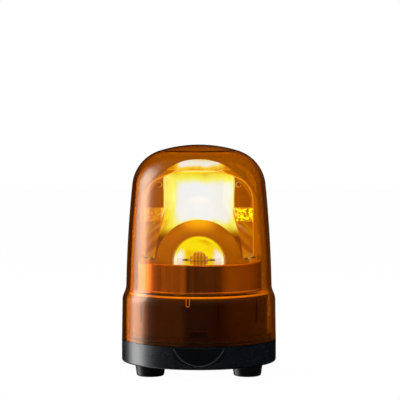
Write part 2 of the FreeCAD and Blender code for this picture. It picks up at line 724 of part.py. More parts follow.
def main_mirror():
    """Concave mirror, upright above and flared below, with edge ribs and a top flange."""
    thick = 1.4
    upper = Part.makeLoft([mirror_section(FLARE_Z, MIRROR_HALF, 17.0, 4.0, thick),
                           mirror_section(MIRROR_TOP, MIRROR_HALF, 12.0, 0.5, thick)], True, True)
    flare = [(DRUM_TOP, 29.0, 20.0, 10.0), (84.0, 27.5, 19.6, 8.6), (96.0, 24.0, 18.4, 6.0),
             (FLARE_Z, MIRROR_HALF, 17.0, 4.0)]
    lower = Part.makeLoft([mirror_section(z, half, mid, edge, thick)
                           for z, half, mid, edge in flare], True, False)
    rib = plate([(MIRROR_HALF - 0.2, FLARE_Z), (MIRROR_HALF + 0.9, FLARE_Z),
                 (MIRROR_HALF + 0.9, MIRROR_TOP), (MIRROR_HALF - 0.2, MIRROR_TOP)], "y", 0.0, 6.5)
    roof = plate([(-MIRROR_HALF - 0.9, 0.0), (MIRROR_HALF + 0.9, 0.0),
                  (MIRROR_HALF + 0.9, 4.0), (13.0, 12.4), (-13.0, 12.4),
                  (-MIRROR_HALF - 0.9, 4.0)], "z", MIRROR_TOP - 0.9, MIRROR_TOP)
    ear = plate([(MIRROR_HALF, BOSS_Z - 3), (BOSS_X + 1, BOSS_Z - 3), (BOSS_X + 1, BOSS_Z + 3),
                 (MIRROR_HALF, BOSS_Z + 3)], "y", 4.9, 6.1)
    body = upper.fuse([lower, roof] + mirrored(rib) + mirrored(ear))
    body = body.common(half_dome(REFL_WALL, DRUM_TOP))
    hole = Part.makeCylinder(CARRIER_SCREW_R, 6, V(BOSS_X, 3, BOSS_Z), V(0, 1, 0))
    return body.cut(mirrored(hole)).removeSplitter()


def mirror_carrier():
    """Moulded frame round the mirror: sloped side facets, frosted bands and stepped panels."""
    edge = REFL_HALF - RIM_W + 0.4
    facet = Part.makeLoft([
        Part.makePolygon([V(edge, 0, DRUM_TOP), V(edge, 1.4, DRUM_TOP), V(30.0, 11.6, DRUM_TOP),
                          V(29.5, 10.0, DRUM_TOP), V(edge, 0, DRUM_TOP)]),
        Part.makePolygon([V(edge, 0, BAND_LOW), V(edge, 1.4, BAND_LOW), V(25.2, 8.0, BAND_LOW),
                          V(24.7, 6.4, BAND_LOW), V(edge, 0, BAND_LOW)])], True, True)
    inner = MIRROR_HALF + 1.2
    bands = block((24.7, 0.6, BAND_LOW), (edge, 2.0, FLARE_Z))
    low_shelf = block((24.7, 0.6, BAND_LOW), (edge, 8.0, BAND_LOW + 1.2))
    high_shelf = block((24.7, 0.6, FLARE_Z - 1.2), (edge, 9.2, FLARE_Z))
    lower_panel = block((inner, 8.0, FLARE_Z - 1.2), (edge, 9.2, STEP_Z))
    step = block((inner, 8.0, STEP_Z - 1.2), (edge, 11.0, STEP_Z))
    upper_panel = block((inner, 9.8, STEP_Z - 1.2), (edge, 11.0, REFL_TOP - 4))
    side_wall = block((24.6, 9.8, FLARE_Z + 2), (25.8, 21.2, REFL_TOP - 4))
    boss = Part.makeCylinder(BOSS_R, 4.0, V(BOSS_X, 6.1, BOSS_Z), V(0, 1, 0))
    right = facet.fuse([bands, low_shelf, high_shelf, lower_panel, step, upper_panel,
                        side_wall, boss])
    back_wall = block((-25.8, 20.0, FLARE_Z + 2), (25.8, 21.2, REFL_TOP - 4))
    body = right.fuse([right.mirror(O, V(1, 0, 0)), back_wall])
    body = body.common(half_dome(REFL_WALL, DRUM_TOP))
    hole = Part.makeCylinder(CARRIER_SCREW_R, 6, V(BOSS_X, 5, BOSS_Z), V(0, 1, 0))
    return body.cut(mirrored(hole)).removeSplitter()


def light_hood():
    """Half-bell over the LED with a round mouth, a rolled inner lip and two screw ears."""
    front, back = HOOD_FRONT, HOOD_BACK
    mouth, outer = HOOD_MOUTH, HOOD_OUT
    brow = front + HOOD_BROW
    wire = outline((outer - 0.6, back), (outer, brow + 0.9),
                   ((outer - 0.25, brow + 0.25), (outer - 0.9, brow)),
                   ((outer - 5.0, front + 1.4), (mouth + 0.9, front)),
                   (mouth, front + 0.5),
                   ((mouth - 0.8, front + 4.2), (mouth - 2.6, back - 1.4)),
                   (mouth - 1.5, back - 1.2),
                   ((mouth + 0.3, front + 4.4), (mouth + 1.7, front + 1.6)),
                   ((outer - 5.4, front + 2.7), (outer - 2.0, brow + HOOD_T + 0.2)),
                   (outer - HOOD_T - 0.6, back))
    wire.rotate(O, V(1, 0, 0), -90)
    bell = Part.Face(wire).revolve(O, V(0, 1, 0), -180)
    bell.translate(V(0, 0, DRUM_TOP))
    if bell.BoundBox.ZMin < DRUM_TOP - 1:
        bell.rotate(V(0, 0, DRUM_TOP), V(0, 1, 0), 180)
    ears = []
    for point in hood_ear_points():
        side = math.copysign(1.0, point.x)
        ear = disc(2.5, DRUM_TOP, DRUM_TOP + 1.4, point)
        low, high = sorted((point.x, side * 24.4))
        ears.append(ear.fuse(block((low, point.y - 2.5, DRUM_TOP),
                                   (high, point.y + 2.5, DRUM_TOP + 1.4))))
    holes = [disc(SMALL_PILOT_R, DRUM_TOP - 1, DRUM_TOP + 3, p) for p in hood_ear_points()]
    return bell.fuse(ears).cut(holes).removeSplitter()


def hood_screws():
    """Two screws through the hood's ears into the drum."""
    return Part.makeCompound([screw(SMALL_PILOT_R, 3.4, 1.8, 1.2, p + V(0, 0, DRUM_TOP + 1.4))
                              for p in hood_ear_points()])


def reflector_screws():
    """Three screws through the shell's feet into the drum."""
    return Part.makeCompound([screw(PILOT_R, 3.6, 2.2, 1.5, p + V(0, 0, DRUM_TOP + 1.6))
                              for p in foot_points() + [REAR_FOOT]])


def carrier_screws():
    """Two screws that hold the mirror's ears to the carrier, from the front."""
    shapes = []
    for x in (-BOSS_X, BOSS_X):
        one = screw(CARRIER_SCREW_R, 4.6, 2.0, 1.3, O)
        one.rotate(O, V(1, 0, 0), 90)
        one.translate(V(x, 4.9, BOSS_Z))
        shapes.append(one)
    return Part.makeCompound(shapes)


# ---- supply and driver board ----------------------------------------------------------
def main_board():
    """Round board, notched round the insert bosses, with a middle hole for the cable."""
    body = disc(BOARD_R, BOARD_Z, BOARD_TOP)
    cuts = [disc(CABLE_HOLE_R, BOARD_Z - 1, BOARD_Z + 3)]
    cuts += placed(disc(8.2, BOARD_Z - 1, BOARD_Z + 3, polar(FIX_R, 0)), fixing_points())
    cuts += placed(disc(SMALL_PILOT_R, BOARD_Z - 1, BOARD_Z + 3, polar(BOARD_POST_R, 0)), post_directions())
    return body.cut(cuts)


def board_screws():
    """Three screws that hold the board on its posts."""
    one = screw(SMALL_PILOT_R, 5.0, 2.1, 1.3, polar(BOARD_POST_R, 0, BOARD_TOP))
    return Part.makeCompound(placed(one, post_directions()))


def terminal_block():
    """Screw terminal for four wires, with a stepped back."""
    low = BOARD_TOP
    body = plate([(-24, 14), (-6, 14), (-6, 23), (-24, 23)], "z", low, low + 9.5)
    step = block((-25, 19.5, low + 6.5), (-5, 24, low + 10))
    cuts = [step]
    for x in [-15.0 + (i - 1.5) * TERMINAL_PITCH for i in range(4)]:
        cuts.append(block((x - 1.5, 13, low + 1.5), (x + 1.5, 19, low + 4.5)))
        cuts.append(disc(1.5, low + 6.0, low + 10, V(x, 16.6, 0)))
    return body.cut(cuts)


def capacitors():
    """Two electrolytic capacitors with a crimped neck."""
    low = BOARD_TOP
    can = turned((0, low), (4.7, low), (5.0, low + 0.4), (5.0, low + 1.6), (4.6, low + 2.1),
                 (5.0, low + 2.6), (5.0, low + 13.4), (4.5, low + 14.0), (0, low + 14.0))
    shapes = []
    for x, y in ((-8.0, -14.0), (-20.0, -5.0)):
        twin = can.copy()
        twin.translate(V(x, y, 0))
        shapes.append(twin)
    return Part.makeCompound(shapes)


def power_inductor():
    """Wound drum core."""
    low = BOARD_TOP
    body = turned((0, low), (6.0, low), (6.0, low + 1.2), (4.8, low + 1.6), (4.8, low + 4.8),
                  (6.0, low + 5.2), (6.0, low + 6.4), (0, low + 6.4))
    body.translate(V(12.0, -15.0, 0))
    return body


def driver_chips():
    """Motor and LED driver chips with two rows of leads each."""
    low = BOARD_TOP
    chips = []
    for x, y, long in ((14.0, 0.0, 9.0), (-14.0, 4.5, 6.0), (0.0, 13.0, 6.0)):
        body = block((x - long / 2, y - 2.0, low + 0.2), (x + long / 2, y + 2.0, low + 1.8))
        legs = []
        count = int(long / LEAD_PITCH)
        for i in range(count):
            at = x + (i - (count - 1) / 2) * LEAD_PITCH
            legs.append(block((at - 0.3, y - 3.0, low), (at + 0.3, y + 3.0, low + 0.5)))
        chips.append(body.fuse(legs).removeSplitter())
    return Part.makeCompound(chips)


PIECES = {
    "globe": globe,
    "base_housing": base_housing,
    "outlet_cover": outlet_cover,
    "rubber_feet": rubber_feet,
    "mounting_inserts": mounting_inserts,
    "cable_grommet": cable_grommet,
    "chassis": chassis,
    "chassis_screws": chassis_screws,
    "globe_seal": globe_seal,
    "led_pillar": led_pillar,
    "pillar_screws": pillar_screws,
    "thrust_washer": thrust_washer,
    "retaining_ring": retaining_ring,
    "led_board": led_board,
    "led_package": led_package,
    "led_lens": led_lens,
    "rotor_bush": rotor_bush,
    "drum": drum,
    "drive_ring_gear": drive_ring_gear,
    "reflector_shell": reflector_shell,
    "mirror_carrier": mirror_carrier,
    "main_mirror": main_mirror,
    "light_hood": light_hood,
    "hood_screws": hood_screws,
    "reflector_screws": reflector_screws,
    "carrier_screws": carrier_screws,
    "motor": motor,
    "motor_screws": motor_screws,
    "motor_shaft": motor_shaft,
    "drive_pinion": drive_pinion,
    "main_board": main_board,
    "board_screws": board_screws,
    "terminal_block": terminal_block,
    "capacitors": capacitors,
    "power_inductor": power_inductor,
    "driver_chips": driver_chips,
}


def main():
    """Builds every piece and writes its STEP file."""
    os.makedirs("parts", exist_ok=True)
    for name, build in PIECES.items():
        shape = build()
        solids = shape.Solids
        print(name, "solids", len(solids), "valid", shape.isValid(),
              "volume", round(sum(s.Volume for s in solids), 1))
        shape.exportStep(os.path.join("parts", name + ".step"))


main()
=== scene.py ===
import logging
import math
from dataclasses import dataclass, field
from enum import Enum
from functools import cached_property, reduce
from typing import Callable, NamedTuple, Sequence, Union

import bpy
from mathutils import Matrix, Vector


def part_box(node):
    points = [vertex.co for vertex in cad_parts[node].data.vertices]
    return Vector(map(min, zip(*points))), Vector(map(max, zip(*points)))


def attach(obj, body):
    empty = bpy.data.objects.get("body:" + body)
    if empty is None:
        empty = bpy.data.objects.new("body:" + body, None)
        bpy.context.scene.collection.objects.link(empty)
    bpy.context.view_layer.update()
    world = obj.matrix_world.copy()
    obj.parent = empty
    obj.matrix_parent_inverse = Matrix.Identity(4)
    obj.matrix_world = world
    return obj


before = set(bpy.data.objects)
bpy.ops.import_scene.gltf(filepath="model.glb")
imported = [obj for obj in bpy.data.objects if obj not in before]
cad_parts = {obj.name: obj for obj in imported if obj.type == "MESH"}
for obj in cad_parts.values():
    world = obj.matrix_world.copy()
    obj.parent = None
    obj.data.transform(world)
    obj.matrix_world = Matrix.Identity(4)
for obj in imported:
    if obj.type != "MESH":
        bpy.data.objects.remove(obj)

log = logging.getLogger("beacon")
Pair = tuple[float, float]
Place = Colour = tuple[float, float, float]
Node, Tree = bpy.types.Node, bpy.types.NodeTree
Socket, Material = bpy.types.NodeSocket, bpy.types.Material
Piece = bpy.types.Object
Value = Union[Socket, float, Sequence[float], None]
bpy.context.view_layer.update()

# Places on the CAD nodes that the finishes and the new pieces start from, in metres
DRUM_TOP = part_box("drum")[1].z
SHELL_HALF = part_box("reflector_shell")[1].x
SHELL_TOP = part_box("reflector_shell")[1].z
MIRROR_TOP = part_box("main_mirror")[1].z
LED_BOARD_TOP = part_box("led_board")[1].z
DECK_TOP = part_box("chassis")[1].z
COVER_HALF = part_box("outlet_cover")[1].x
COVER_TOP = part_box("outlet_cover")[1].z
BASE_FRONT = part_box("base_housing")[0].y


# ---- node graphs ----
class Mottle(NamedTuple):
    """Soft noise, and the part of its range that a finish uses."""

    scale: Value
    detail: float
    rough: float
    low: float = 0.3
    high: float = 0.7


class Graph:
    """Short way to lay nodes into the tree of a material, a group or the world."""

    NODES_IN_ROW = 8
    STEP = (180.0, -220.0)
    NOT_COLOURS = (None,) * 5   # inputs of a Mix node between its factor and its colours
    place: Socket               # where textures are read

    def __init__(self, tree: Tree) -> None:
        """Keeps the tree."""
        self.tree = tree

    def node(self, kind: str, *values: Value, **settings: object) -> Node:
        """Adds a node.

        Args:
            kind: Blender's type name, without the ShaderNode prefix.
            values: what its inputs are fed, in their order.
            settings: properties to set on it.

        Returns:
            The new node.
        """
        made = self.tree.nodes.new(kind if kind.startswith("NodeGroup") else "ShaderNode" + kind)
        row, column = divmod(len(self.tree.nodes), self.NODES_IN_ROW)
        made.location = (self.STEP[0] * column, self.STEP[1] * row)
        for key, value in settings.items():
            setattr(made, key, value)
        for socket, value in zip(made.inputs, values):
            self.feed(socket, value)
        return made

    def feed(self, target: Socket, value: Value) -> None:
        """Sets a socket to a constant, or joins it to another socket.

        Args:
            target: the socket to feed.
            value: a socket, number, vector or colour without alpha; None leaves it as it is.
        """
        if isinstance(value, Socket):
            self.tree.links.new(value, target)
        elif value is not None:
            target.default_value = (*value, 1.0) if target.type == "RGBA" else value

    def fill(self, node: Node, **values: Value) -> Node:
        """Feeds a node's inputs by name, with underscores for spaces, and gives it back."""
        for label, value in values.items():
            self.feed(node.inputs[label.replace("_", " ")], value)
        return node

    def math(self, operation: str, *values: Value) -> Socket:
        """Result of a Math node."""
        return self.node("Math", *values, operation=operation).outputs[0]

    def times(self, *factors: Value) -> Socket:
        """Product of two or more values."""
        return reduce(lambda one, two: self.math("MULTIPLY", one, two), factors)

    def plus(self, base: Value, amount: Value, share: Value) -> Socket:
        """A base value and a share of an amount."""
        return self.math("MULTIPLY_ADD", amount, share, base)

    def gap(self, value: Value, centre: float = 0.0) -> Socket:
        """Distance of a value from a centre."""
        return self.math("ABSOLUTE", self.math("SUBTRACT", value, centre))

    def reach(self, x: Socket, y: Socket) -> Socket:
        """Length of a vector with two parts."""
        return self.math("SQRT", self.plus(self.times(x, x), y, y))

    def parts(self, vector: Socket) -> tuple[Socket, Socket, Socket]:
        """X, Y and Z of a vector."""
        return tuple(self.node("SeparateXYZ", vector).outputs)

    def span(self, value: Value, low: float, high: float, out_low: float = 0.0,
             out_high: float = 1.0, ease: str = "SMOOTHSTEP") -> Socket:
        """Maps a value from low...high to out_low...out_high and clamps it there."""
        return self.node("MapRange", value, low, high, out_low, out_high,
                         interpolation_type=ease).outputs[0]

    def profile(self, value: Value, steps: Sequence[Pair]) -> Socket:
        """Looks a value up in a profile with straight lines between its steps.

        Args:
            value: what is looked up.
            steps: (value, result) pairs in rising order.

        Returns:
            The result.
        """
        low, high = steps[0][0], steps[-1][0]
        top = max(result for _, result in steps) or 1.0
        ramp = self.node("ValToRGB", self.span(value, low, high, ease="LINEAR"))
        stops = ramp.color_ramp.elements
        stops.remove(stops[1])
        for number, (at, result) in enumerate(steps):
            place = (at - low) / (high - low)
            stop = stops.new(place) if number else stops[0]
            stop.position = place
            stop.color = (*[result / top] * 3, 1.0)
        return self.times(ramp.outputs[0], top)

    def mix(self, factor: Value, first: Value, second: Value) -> Socket:
        """Mixes two colours: factor 0 for the first, 1 for the second."""
        return self.node("Mix", factor, *self.NOT_COLOURS, first, second,
                         data_type="RGBA").outputs[2]

    def noise(self, pattern: Mottle, vector: Socket | None = None) -> Socket:
        """Soft noise, over its whole range."""
        return self.node("TexNoise", vector or self.place, None, *pattern[:3]).outputs[0]

    def mottle(self, pattern: Mottle, low: float = 0.0, high: float = 1.0,
               vector: Socket | None = None) -> Socket:
        """Soft noise, with its used range stretched to low...high."""
        return self.span(self.noise(pattern, vector), pattern.low, pattern.high, low, high)

    def cells(self, scale: Value, feature: str = "F1") -> Sequence[Socket]:
        """Outputs of a Voronoi Texture."""
        return self.node("TexVoronoi", self.place, None, scale, feature=feature).outputs


class Group(Graph):
    """A shader node group that reads a place and one number, and gives named values."""

    def __init__(self, name: str, setting: str, *results: str) -> None:
        """Starts the group.

        Args:
            name: the group's name.
            setting: name of its number.
            results: names of what it gives.
        """
        super().__init__(bpy.data.node_groups.new(name, "ShaderNodeTree"))
        sockets = self.tree.interface
        sockets.new_socket("Place", in_out="INPUT", socket_type="NodeSocketVector")
        sockets.new_socket(setting, in_out="INPUT", socket_type="NodeSocketFloat")
        for label in results:
            sockets.new_socket(label, in_out="OUTPUT", socket_type="NodeSocketFloat")
        self.place, self.setting = self.node("NodeGroupInput").outputs[:2]
        self.sink = self.node("NodeGroupOutput")

    def give(self, *values: Socket) -> Tree:
        """Joins values to the group's outputs, in their order, and gives the group back."""
        for socket, value in zip(self.sink.inputs, values):
            self.feed(socket, value)
        return self.tree


class Effects:
    """Node groups that several finishes share, each built once."""

    MOULD_PORES = Mottle(0.35, 4.0, 0.5)    # its scale is a share of the grain's
    PORE_SHARE = 0.6
    MOULD_SHADE = Mottle(45.0, 2.0, 0.5)
    SMEARS = Mottle(60.0, 5.0, 0.62, 0.46, 0.72)
    SCRATCHES = Mottle(210.0, 2.0, 0.4, 0.66, 0.71)
    SCRATCHED_SPOTS = Mottle(35.0, 1.0, 0.5, 0.52, 0.6)
    SCRATCH_TURN = (0.4, 0.9, 0.3)
    SCRATCH_STRETCH = (1.0, 14.0, 1.0)
    DUST_PATCHES = Mottle(140.0, 6.0, 0.6, 0.35, 0.75)
    DUST_UPWARD = (0.35, 0.95)
    LATHE_SHADE = Mottle(300.0, 2.0, 0.5)

    @cached_property
    def grain(self) -> Tree:
        """Fine texture of a moulded surface: Height for a bump, Shade for small variation."""
        g = Group("moulded_grain", "Scale", "Height", "Shade")
        pores = self.MOULD_PORES._replace(scale=g.times(g.setting, self.MOULD_PORES.scale))
        cells = g.cells(g.setting, "SMOOTH_F1")["Distance"]
        return g.give(g.plus(cells, g.noise(pores), self.PORE_SHARE),
                      g.mottle(self.MOULD_SHADE))

    @cached_property
    def handling(self) -> Tree:
        """Faint smears and hairline scratches left by handling."""
        g = Group("handling_marks", "Amount", "Smear", "Scratch")
        turned = g.fill(g.node("Mapping", g.place), Rotation=self.SCRATCH_TURN,
                        Scale=self.SCRATCH_STRETCH)
        lines = g.mottle(self.SCRATCHES, vector=turned.outputs[0])
        return g.give(g.times(g.mottle(self.SMEARS), g.setting),
                      g.times(lines, g.mottle(self.SCRATCHED_SPOTS), g.setting))

    @cached_property
    def dust(self) -> Tree:
        """Thin dust that gathers on faces that look up."""
        g = Group("settled_dust", "Amount", "Mask")
        upward = g.parts(g.node("NewGeometry").outputs["Normal"])[2]
        return g.give(g.times(g.span(upward, *self.DUST_UPWARD),
                              g.mottle(self.DUST_PATCHES), g.setting))

    @cached_property
    def turning(self) -> Tree:
        """Fine rings left by a lathe, round the beacon's upright axis."""
        g = Group("lathe_marks", "Pitch", "Height", "Shade")
        x, y, z = g.parts(g.place)
        path = g.math("ADD", g.reach(x, y), z)
        return g.give(g.math("SINE", g.times(path, g.setting)),
                      g.mottle(self.LATHE_SHADE))

    @cached_property
    def pebble(self) -> Tree:
        """Coarse frosted pebbles: Height for a bump, Facet for each pebble's own value."""
        g = Group("frosted_pebble", "Scale", "Height", "Facet")
        cells = g.cells(g.setting)
        return g.give(cells["Distance"], g.node("SeparateColor", cells["Color"]).outputs[0])


class Canvas(Graph):
    """A material in the making: its shader, its output and the place on the piece."""

    def __init__(self, name: str, effects: Effects | None = None) -> None:
        """Starts the material.

        Args:
            name: the material's name.
            effects: the groups that finishes share.
        """
        self.material = bpy.data.materials.new(name)
        self.material.use_nodes = True
        self.material.node_tree.nodes.clear()
        super().__init__(self.material.node_tree)
        self.effects = effects
        self.shader = self.node("BsdfPrincipled")
        self.output = self.node("OutputMaterial", self.shader.outputs[0])
        self.place = self.node("TexCoord").outputs["Object"]

    def shade(self, **values: Value) -> None:
        """Feeds the shader's sockets."""
        self.fill(self.shader, **values)

    def glow(self, light: Socket) -> None:
        """Makes the surface give off light, brighter than 1 where its colour is."""
        self.shade(Emission_Color=light, Emission_Strength=1.0)

    def effect(self, tree: Tree, **values: Value) -> Sequence[Socket]:
        """Outputs of a shared group, placed on the piece."""
        return self.fill(self.node("Group", self.place, node_tree=tree), **values).outputs

    def bump(self, height: Socket, strength: float, depth: float) -> None:
        """Raises the surface by a height; depth is what a height of 1 stands for, in metres."""
        made = self.fill(self.node("Bump"), Strength=strength, Distance=depth, Height=height)
        self.shade(Normal=made.outputs[0])

    def overlay(self, factor: Socket, second: Socket) -> None:
        """Shows a second shader over the first, as far as the factor says."""
        both = self.node("MixShader", factor, self.shader.outputs[0], second).outputs[0]
        self.feed(self.output.inputs["Surface"], both)


# ---- finishes ----
def toned(parts: Sequence[float], factor: float, lift: float = 0.0) -> tuple[float, ...]:
    """A colour, or a range, times a factor and lifted."""
    return tuple(part * factor + lift for part in parts)


@dataclass(frozen=True)
class Finish:
    """What all finishes have: a name, a colour and a way to make the material."""

    name: str
    colour: Colour

    def build(self, effects: Effects) -> Material:
        """Makes the material, with the groups that finishes share."""
        self.paint(canvas := Canvas(self.name, effects))
        return canvas.material

    def paint(self, c: Canvas) -> None:
        """Lays the nodes of one finish. Each kind of finish has its own."""
        raise NotImplementedError


@dataclass(frozen=True)
class MouldedPlastic(Finish):
    """Opaque injection-moulded plastic with a fine grain, faint smears and some dust."""

    roughness: float
    grain: float = 0.12
    dust: float = 0.12
    shine: float = 0.5
    shine_tint: Colour = (1.0, 1.0, 1.0)

    GRAIN_SCALE = 2600.0
    PALE = (1.35, 0.0006)       # factor and lift of the grain's pale spots
    DUST_TONE = (0.32, 0.30, 0.27)
    SMEAR_DULLS = 0.12
    DUST_DULLS = 0.3
    SCRATCH_DEPTH = 0.3

    def paint(self, c: Canvas) -> None:
        """Lays the nodes.

        Args:
            c: the material to paint.
        """
        grain = c.effect(c.effects.grain, Scale=self.GRAIN_SCALE)
        marks = c.effect(c.effects.handling, Amount=0.5)
        dust = c.effect(c.effects.dust, Amount=self.dust)["Mask"]
        pale = tuple(min(1.0, part) for part in toned(self.colour, *self.PALE))
        tone = c.mix(grain["Shade"], self.colour, pale)
        rough = c.plus(self.roughness, marks["Smear"], self.SMEAR_DULLS)
        c.shade(Base_Color=c.mix(dust, tone, self.DUST_TONE),
                Roughness=c.plus(rough, dust, self.DUST_DULLS),
                Specular_IOR_Level=self.shine, Specular_Tint=self.shine_tint)
        height = c.plus(c.times(grain["Height"], self.grain), marks["Scratch"],
                        -self.SCRATCH_DEPTH)
        c.bump(height, strength=0.5, depth=0.00012)


@dataclass(frozen=True)
class Rubber(Finish):
    """Soft dark rubber with a matt skin and pale bloom."""

    roughness: float

    BLOOM = Mottle(70.0, 4.0, 0.6, 0.5, 0.8)
    BLOOM_MOST = 0.35
    BLOOM_TONE = (2.0, 0.002)
    BLOOM_DULLS = 0.3

    def paint(self, c: Canvas) -> None:
        """Lays the nodes.

        Args:
            c: the material to paint.
        """
        bloom = c.mottle(self.BLOOM, 0.0, self.BLOOM_MOST)
        c.shade(Base_Color=c.mix(bloom, self.colour, toned(self.colour, *self.BLOOM_TONE)),
                Roughness=c.plus(self.roughness, bloom, self.BLOOM_DULLS), Sheen_Weight=0.04)
        c.bump(c.effect(c.effects.grain, Scale=1800.0)["Height"], strength=0.35, depth=0.0001)


@dataclass(frozen=True)
class AmberGlobe(Finish):
    """Clear plastic, coloured through its thickness: its colour is what one wall lets through."""

    wall: float             # metres
    shadow_tint: Colour     # what lamps and diffuse light pass as
    sheen_tint: Colour      # tint of what the skin reflects

    RIPPLE = Mottle(26.0, 2.0, 0.5)
    POLISH = 0.012
    SMEAR_DULLS = 0.02

    def paint(self, c: Canvas) -> None:
        """Lays the nodes.

        Args:
            c: the material to paint.
        """
        marks = c.effect(c.effects.handling, Amount=0.6)
        c.shade(Base_Color=(1.0, 1.0, 1.0), Transmission_Weight=1.0, IOR=1.49,
                Specular_Tint=self.sheen_tint,
                Roughness=c.plus(self.POLISH, marks["Smear"], self.SMEAR_DULLS))
        c.bump(c.noise(self.RIPPLE), strength=0.10, depth=0.0012)
        clear = c.node("BsdfTransparent", self.shadow_tint).outputs[0]
        ray = c.node("LightPath").outputs
        c.overlay(c.math("MAXIMUM", ray["Is Shadow Ray"], ray["Is Diffuse Ray"]), clear)
        losses = [-math.log(share) for share in self.colour]
        tint = [1.0 - loss / max(losses) for loss in losses]
        absorb = c.node("VolumeAbsorption", tint, max(losses) / self.wall)
        c.feed(c.output.inputs["Volume"], absorb.outputs[0])


@dataclass(frozen=True)
class Metallised(Finish):
    """Vacuum-metallised plastic, a little wavy, with upright streaks if asked."""

    roughness: float
    waviness: float
    streaks: float = 0.0

    CLOUDS = Mottle(90.0, 4.0, 0.55, 0.35, 0.7)
    CLOUD_SHADE = 0.86
    STREAKS = Mottle(420.0, 3.0, 0.6, 0.44, 0.64)
    STREAK_STRETCH = (1.0, 1.0, 0.02)
    STREAK_SHADE = 0.35
    WAVES = Mottle(55.0, 2.0, 0.5)
    SMEAR_DULLS = 0.10

    def paint(self, c: Canvas) -> None:
        """Lays the nodes.

        Args:
            c: the material to paint.
        """
        marks = c.effect(c.effects.handling, Amount=0.5)
        tone = c.mix(c.mottle(self.CLOUDS), self.colour, toned(self.colour, self.CLOUD_SHADE))
        if self.streaks:
            tall = c.fill(c.node("Mapping", c.place), Scale=self.STREAK_STRETCH)
            line = c.mottle(self.STREAKS, 0.0, self.streaks, tall.outputs[0])
            tone = c.mix(line, tone, toned(self.colour, self.STREAK_SHADE))
        c.shade(Base_Color=tone, Metallic=1.0,
                Roughness=c.plus(self.roughness, marks["Smear"], self.SMEAR_DULLS))
        c.bump(c.noise(self.WAVES), strength=self.waviness, depth=0.001)


@dataclass(frozen=True)
class LampLit(Metallised):
    """Metallised plastic with painted lamp light: emission in place of the light that the lamp
    scatters about the niche.

    Faces that look forward, and faces that look down at the lamp, give off more of this painted
    light.
    """

    # painted light: glow everywhere, front on faces that look forward, under on faces that look
    # down near the middle
    glow: Colour = field(kw_only=True)
    front: Colour | None = None
    under: Colour | None = None
    under_half: float = 0.012

    # patches in the painted light, and the masks for its front and under parts
    GLOW_PATCHES = Mottle(70.0, 3.0, 0.5)
    PATCH_SHADE = 0.6
    LOOKS_AHEAD = (-0.80, -0.97)    # range of the normal's Y
    LOOKS_DOWN = (-0.45, -0.85)     # range of the normal's Z
    UNDER_FADE = (1.5, 0.6)         # shares of under_half

    def paint(self, c: Canvas) -> None:
        """Lays the nodes.

        Args:
            c: the material to paint.
        """
        super().paint(c)
        c.glow(self.light(c))

    def light(self, c: Canvas) -> Socket:
        """Painted lamp light that the surface gives off as emission.

        Args:
            c: the material to paint.

        Returns:
            The light's colour.
        """
        _, ahead, up = c.parts(c.node("TexCoord").outputs["Normal"])
        light = c.mix(c.mottle(self.GLOW_PATCHES), toned(self.glow, self.PATCH_SHADE), self.glow)
        light = c.mix(c.span(ahead, *self.LOOKS_AHEAD), light, self.front or self.glow)
        middle = c.span(c.gap(c.parts(c.place)[0]),
                        *toned(self.UNDER_FADE, self.under_half))
        hot = c.times(c.span(up, *self.LOOKS_DOWN), middle)
        return c.mix(hot, light, self.under or self.glow)


@dataclass(frozen=True)
class LitHood(LampLit):
    """Lamp-lit hood with a painted highlight along its crest and a round mouth full of painted
    light.
    """

    # painted highlight along the crest, painted light in the mouth
    crest: Colour = field(kw_only=True)
    mouth: Colour = field(kw_only=True)
    mouth_hot: Colour = field(kw_only=True)     # painted light, hottest at the foot of the mouth

    CREST_UP = (0.090, 0.0992)
    CREST_ACROSS = (0.015, 0.002)
    MOUTH_EDGE = (0.0162, 0.0157)
    MOUTH_FOOT = (0.008, 0.001)

    def light(self, c: Canvas) -> Socket:
        """Painted lamp light that the surface gives off as emission.

        Args:
            c: the material to paint.

        Returns:
            The light's colour.
        """
        light = super().light(c)
        x, _, z = c.parts(c.place)
        top = c.times(c.span(z, *self.CREST_UP), c.span(c.gap(x), *self.CREST_ACROSS))
        light = c.mix(top, light, self.crest)
        rise = c.math("SUBTRACT", z, DRUM_TOP)
        lit = c.mix(c.span(rise, *self.MOUTH_FOOT), self.mouth, self.mouth_hot)
        return c.mix(c.span(c.reach(rise, x), *self.MOUTH_EDGE), light, lit)


@dataclass(frozen=True)
class FrostedBands(Finish):
    """Metallised reflector frame whose side bands are pebbled and carry painted glints, brighter
    on the right.
    """

    low: float
    high: float
    glow: Colour            # painted glints: light given off by the brightest pebbles
    spill: Colour           # painted light: scattered lamp light given off by the whole frame

    EDGE = 0.0005
    PEBBLES = 1000.0
    FROST = (0.95, 0.93, 0.88)
    ROUGH = (0.14, 0.3)             # of the frame, and what the bands add
    GLINT_FACETS = (0.35, 1.0)
    # painted light: the glints fade from the right band to 0.12 of it on the left
    LIGHTER_RIGHT_SIDE = (-0.034, 0.03, 0.12, 1.0)

    def paint(self, c: Canvas) -> None:
        """Lays the nodes.

        Args:
            c: the material to paint.
        """
        x, _, z = c.parts(c.place)
        band = c.times(c.span(z, self.low - self.EDGE, self.low + self.EDGE),
                       c.span(z, self.high + self.EDGE, self.high - self.EDGE))
        pebble = c.effect(c.effects.pebble, Scale=self.PEBBLES)
        painted_glint_mask = c.times(c.span(pebble["Facet"], *self.GLINT_FACETS), band, c.span(x, *self.LIGHTER_RIGHT_SIDE))
        c.shade(Base_Color=c.mix(band, self.colour, self.FROST), Metallic=1.0,
                Roughness=c.plus(self.ROUGH[0], band, self.ROUGH[1]))
        c.glow(c.mix(painted_glint_mask, self.spill, self.glow))
        c.bump(c.times(pebble["Height"], band), strength=0.8, depth=0.0008)


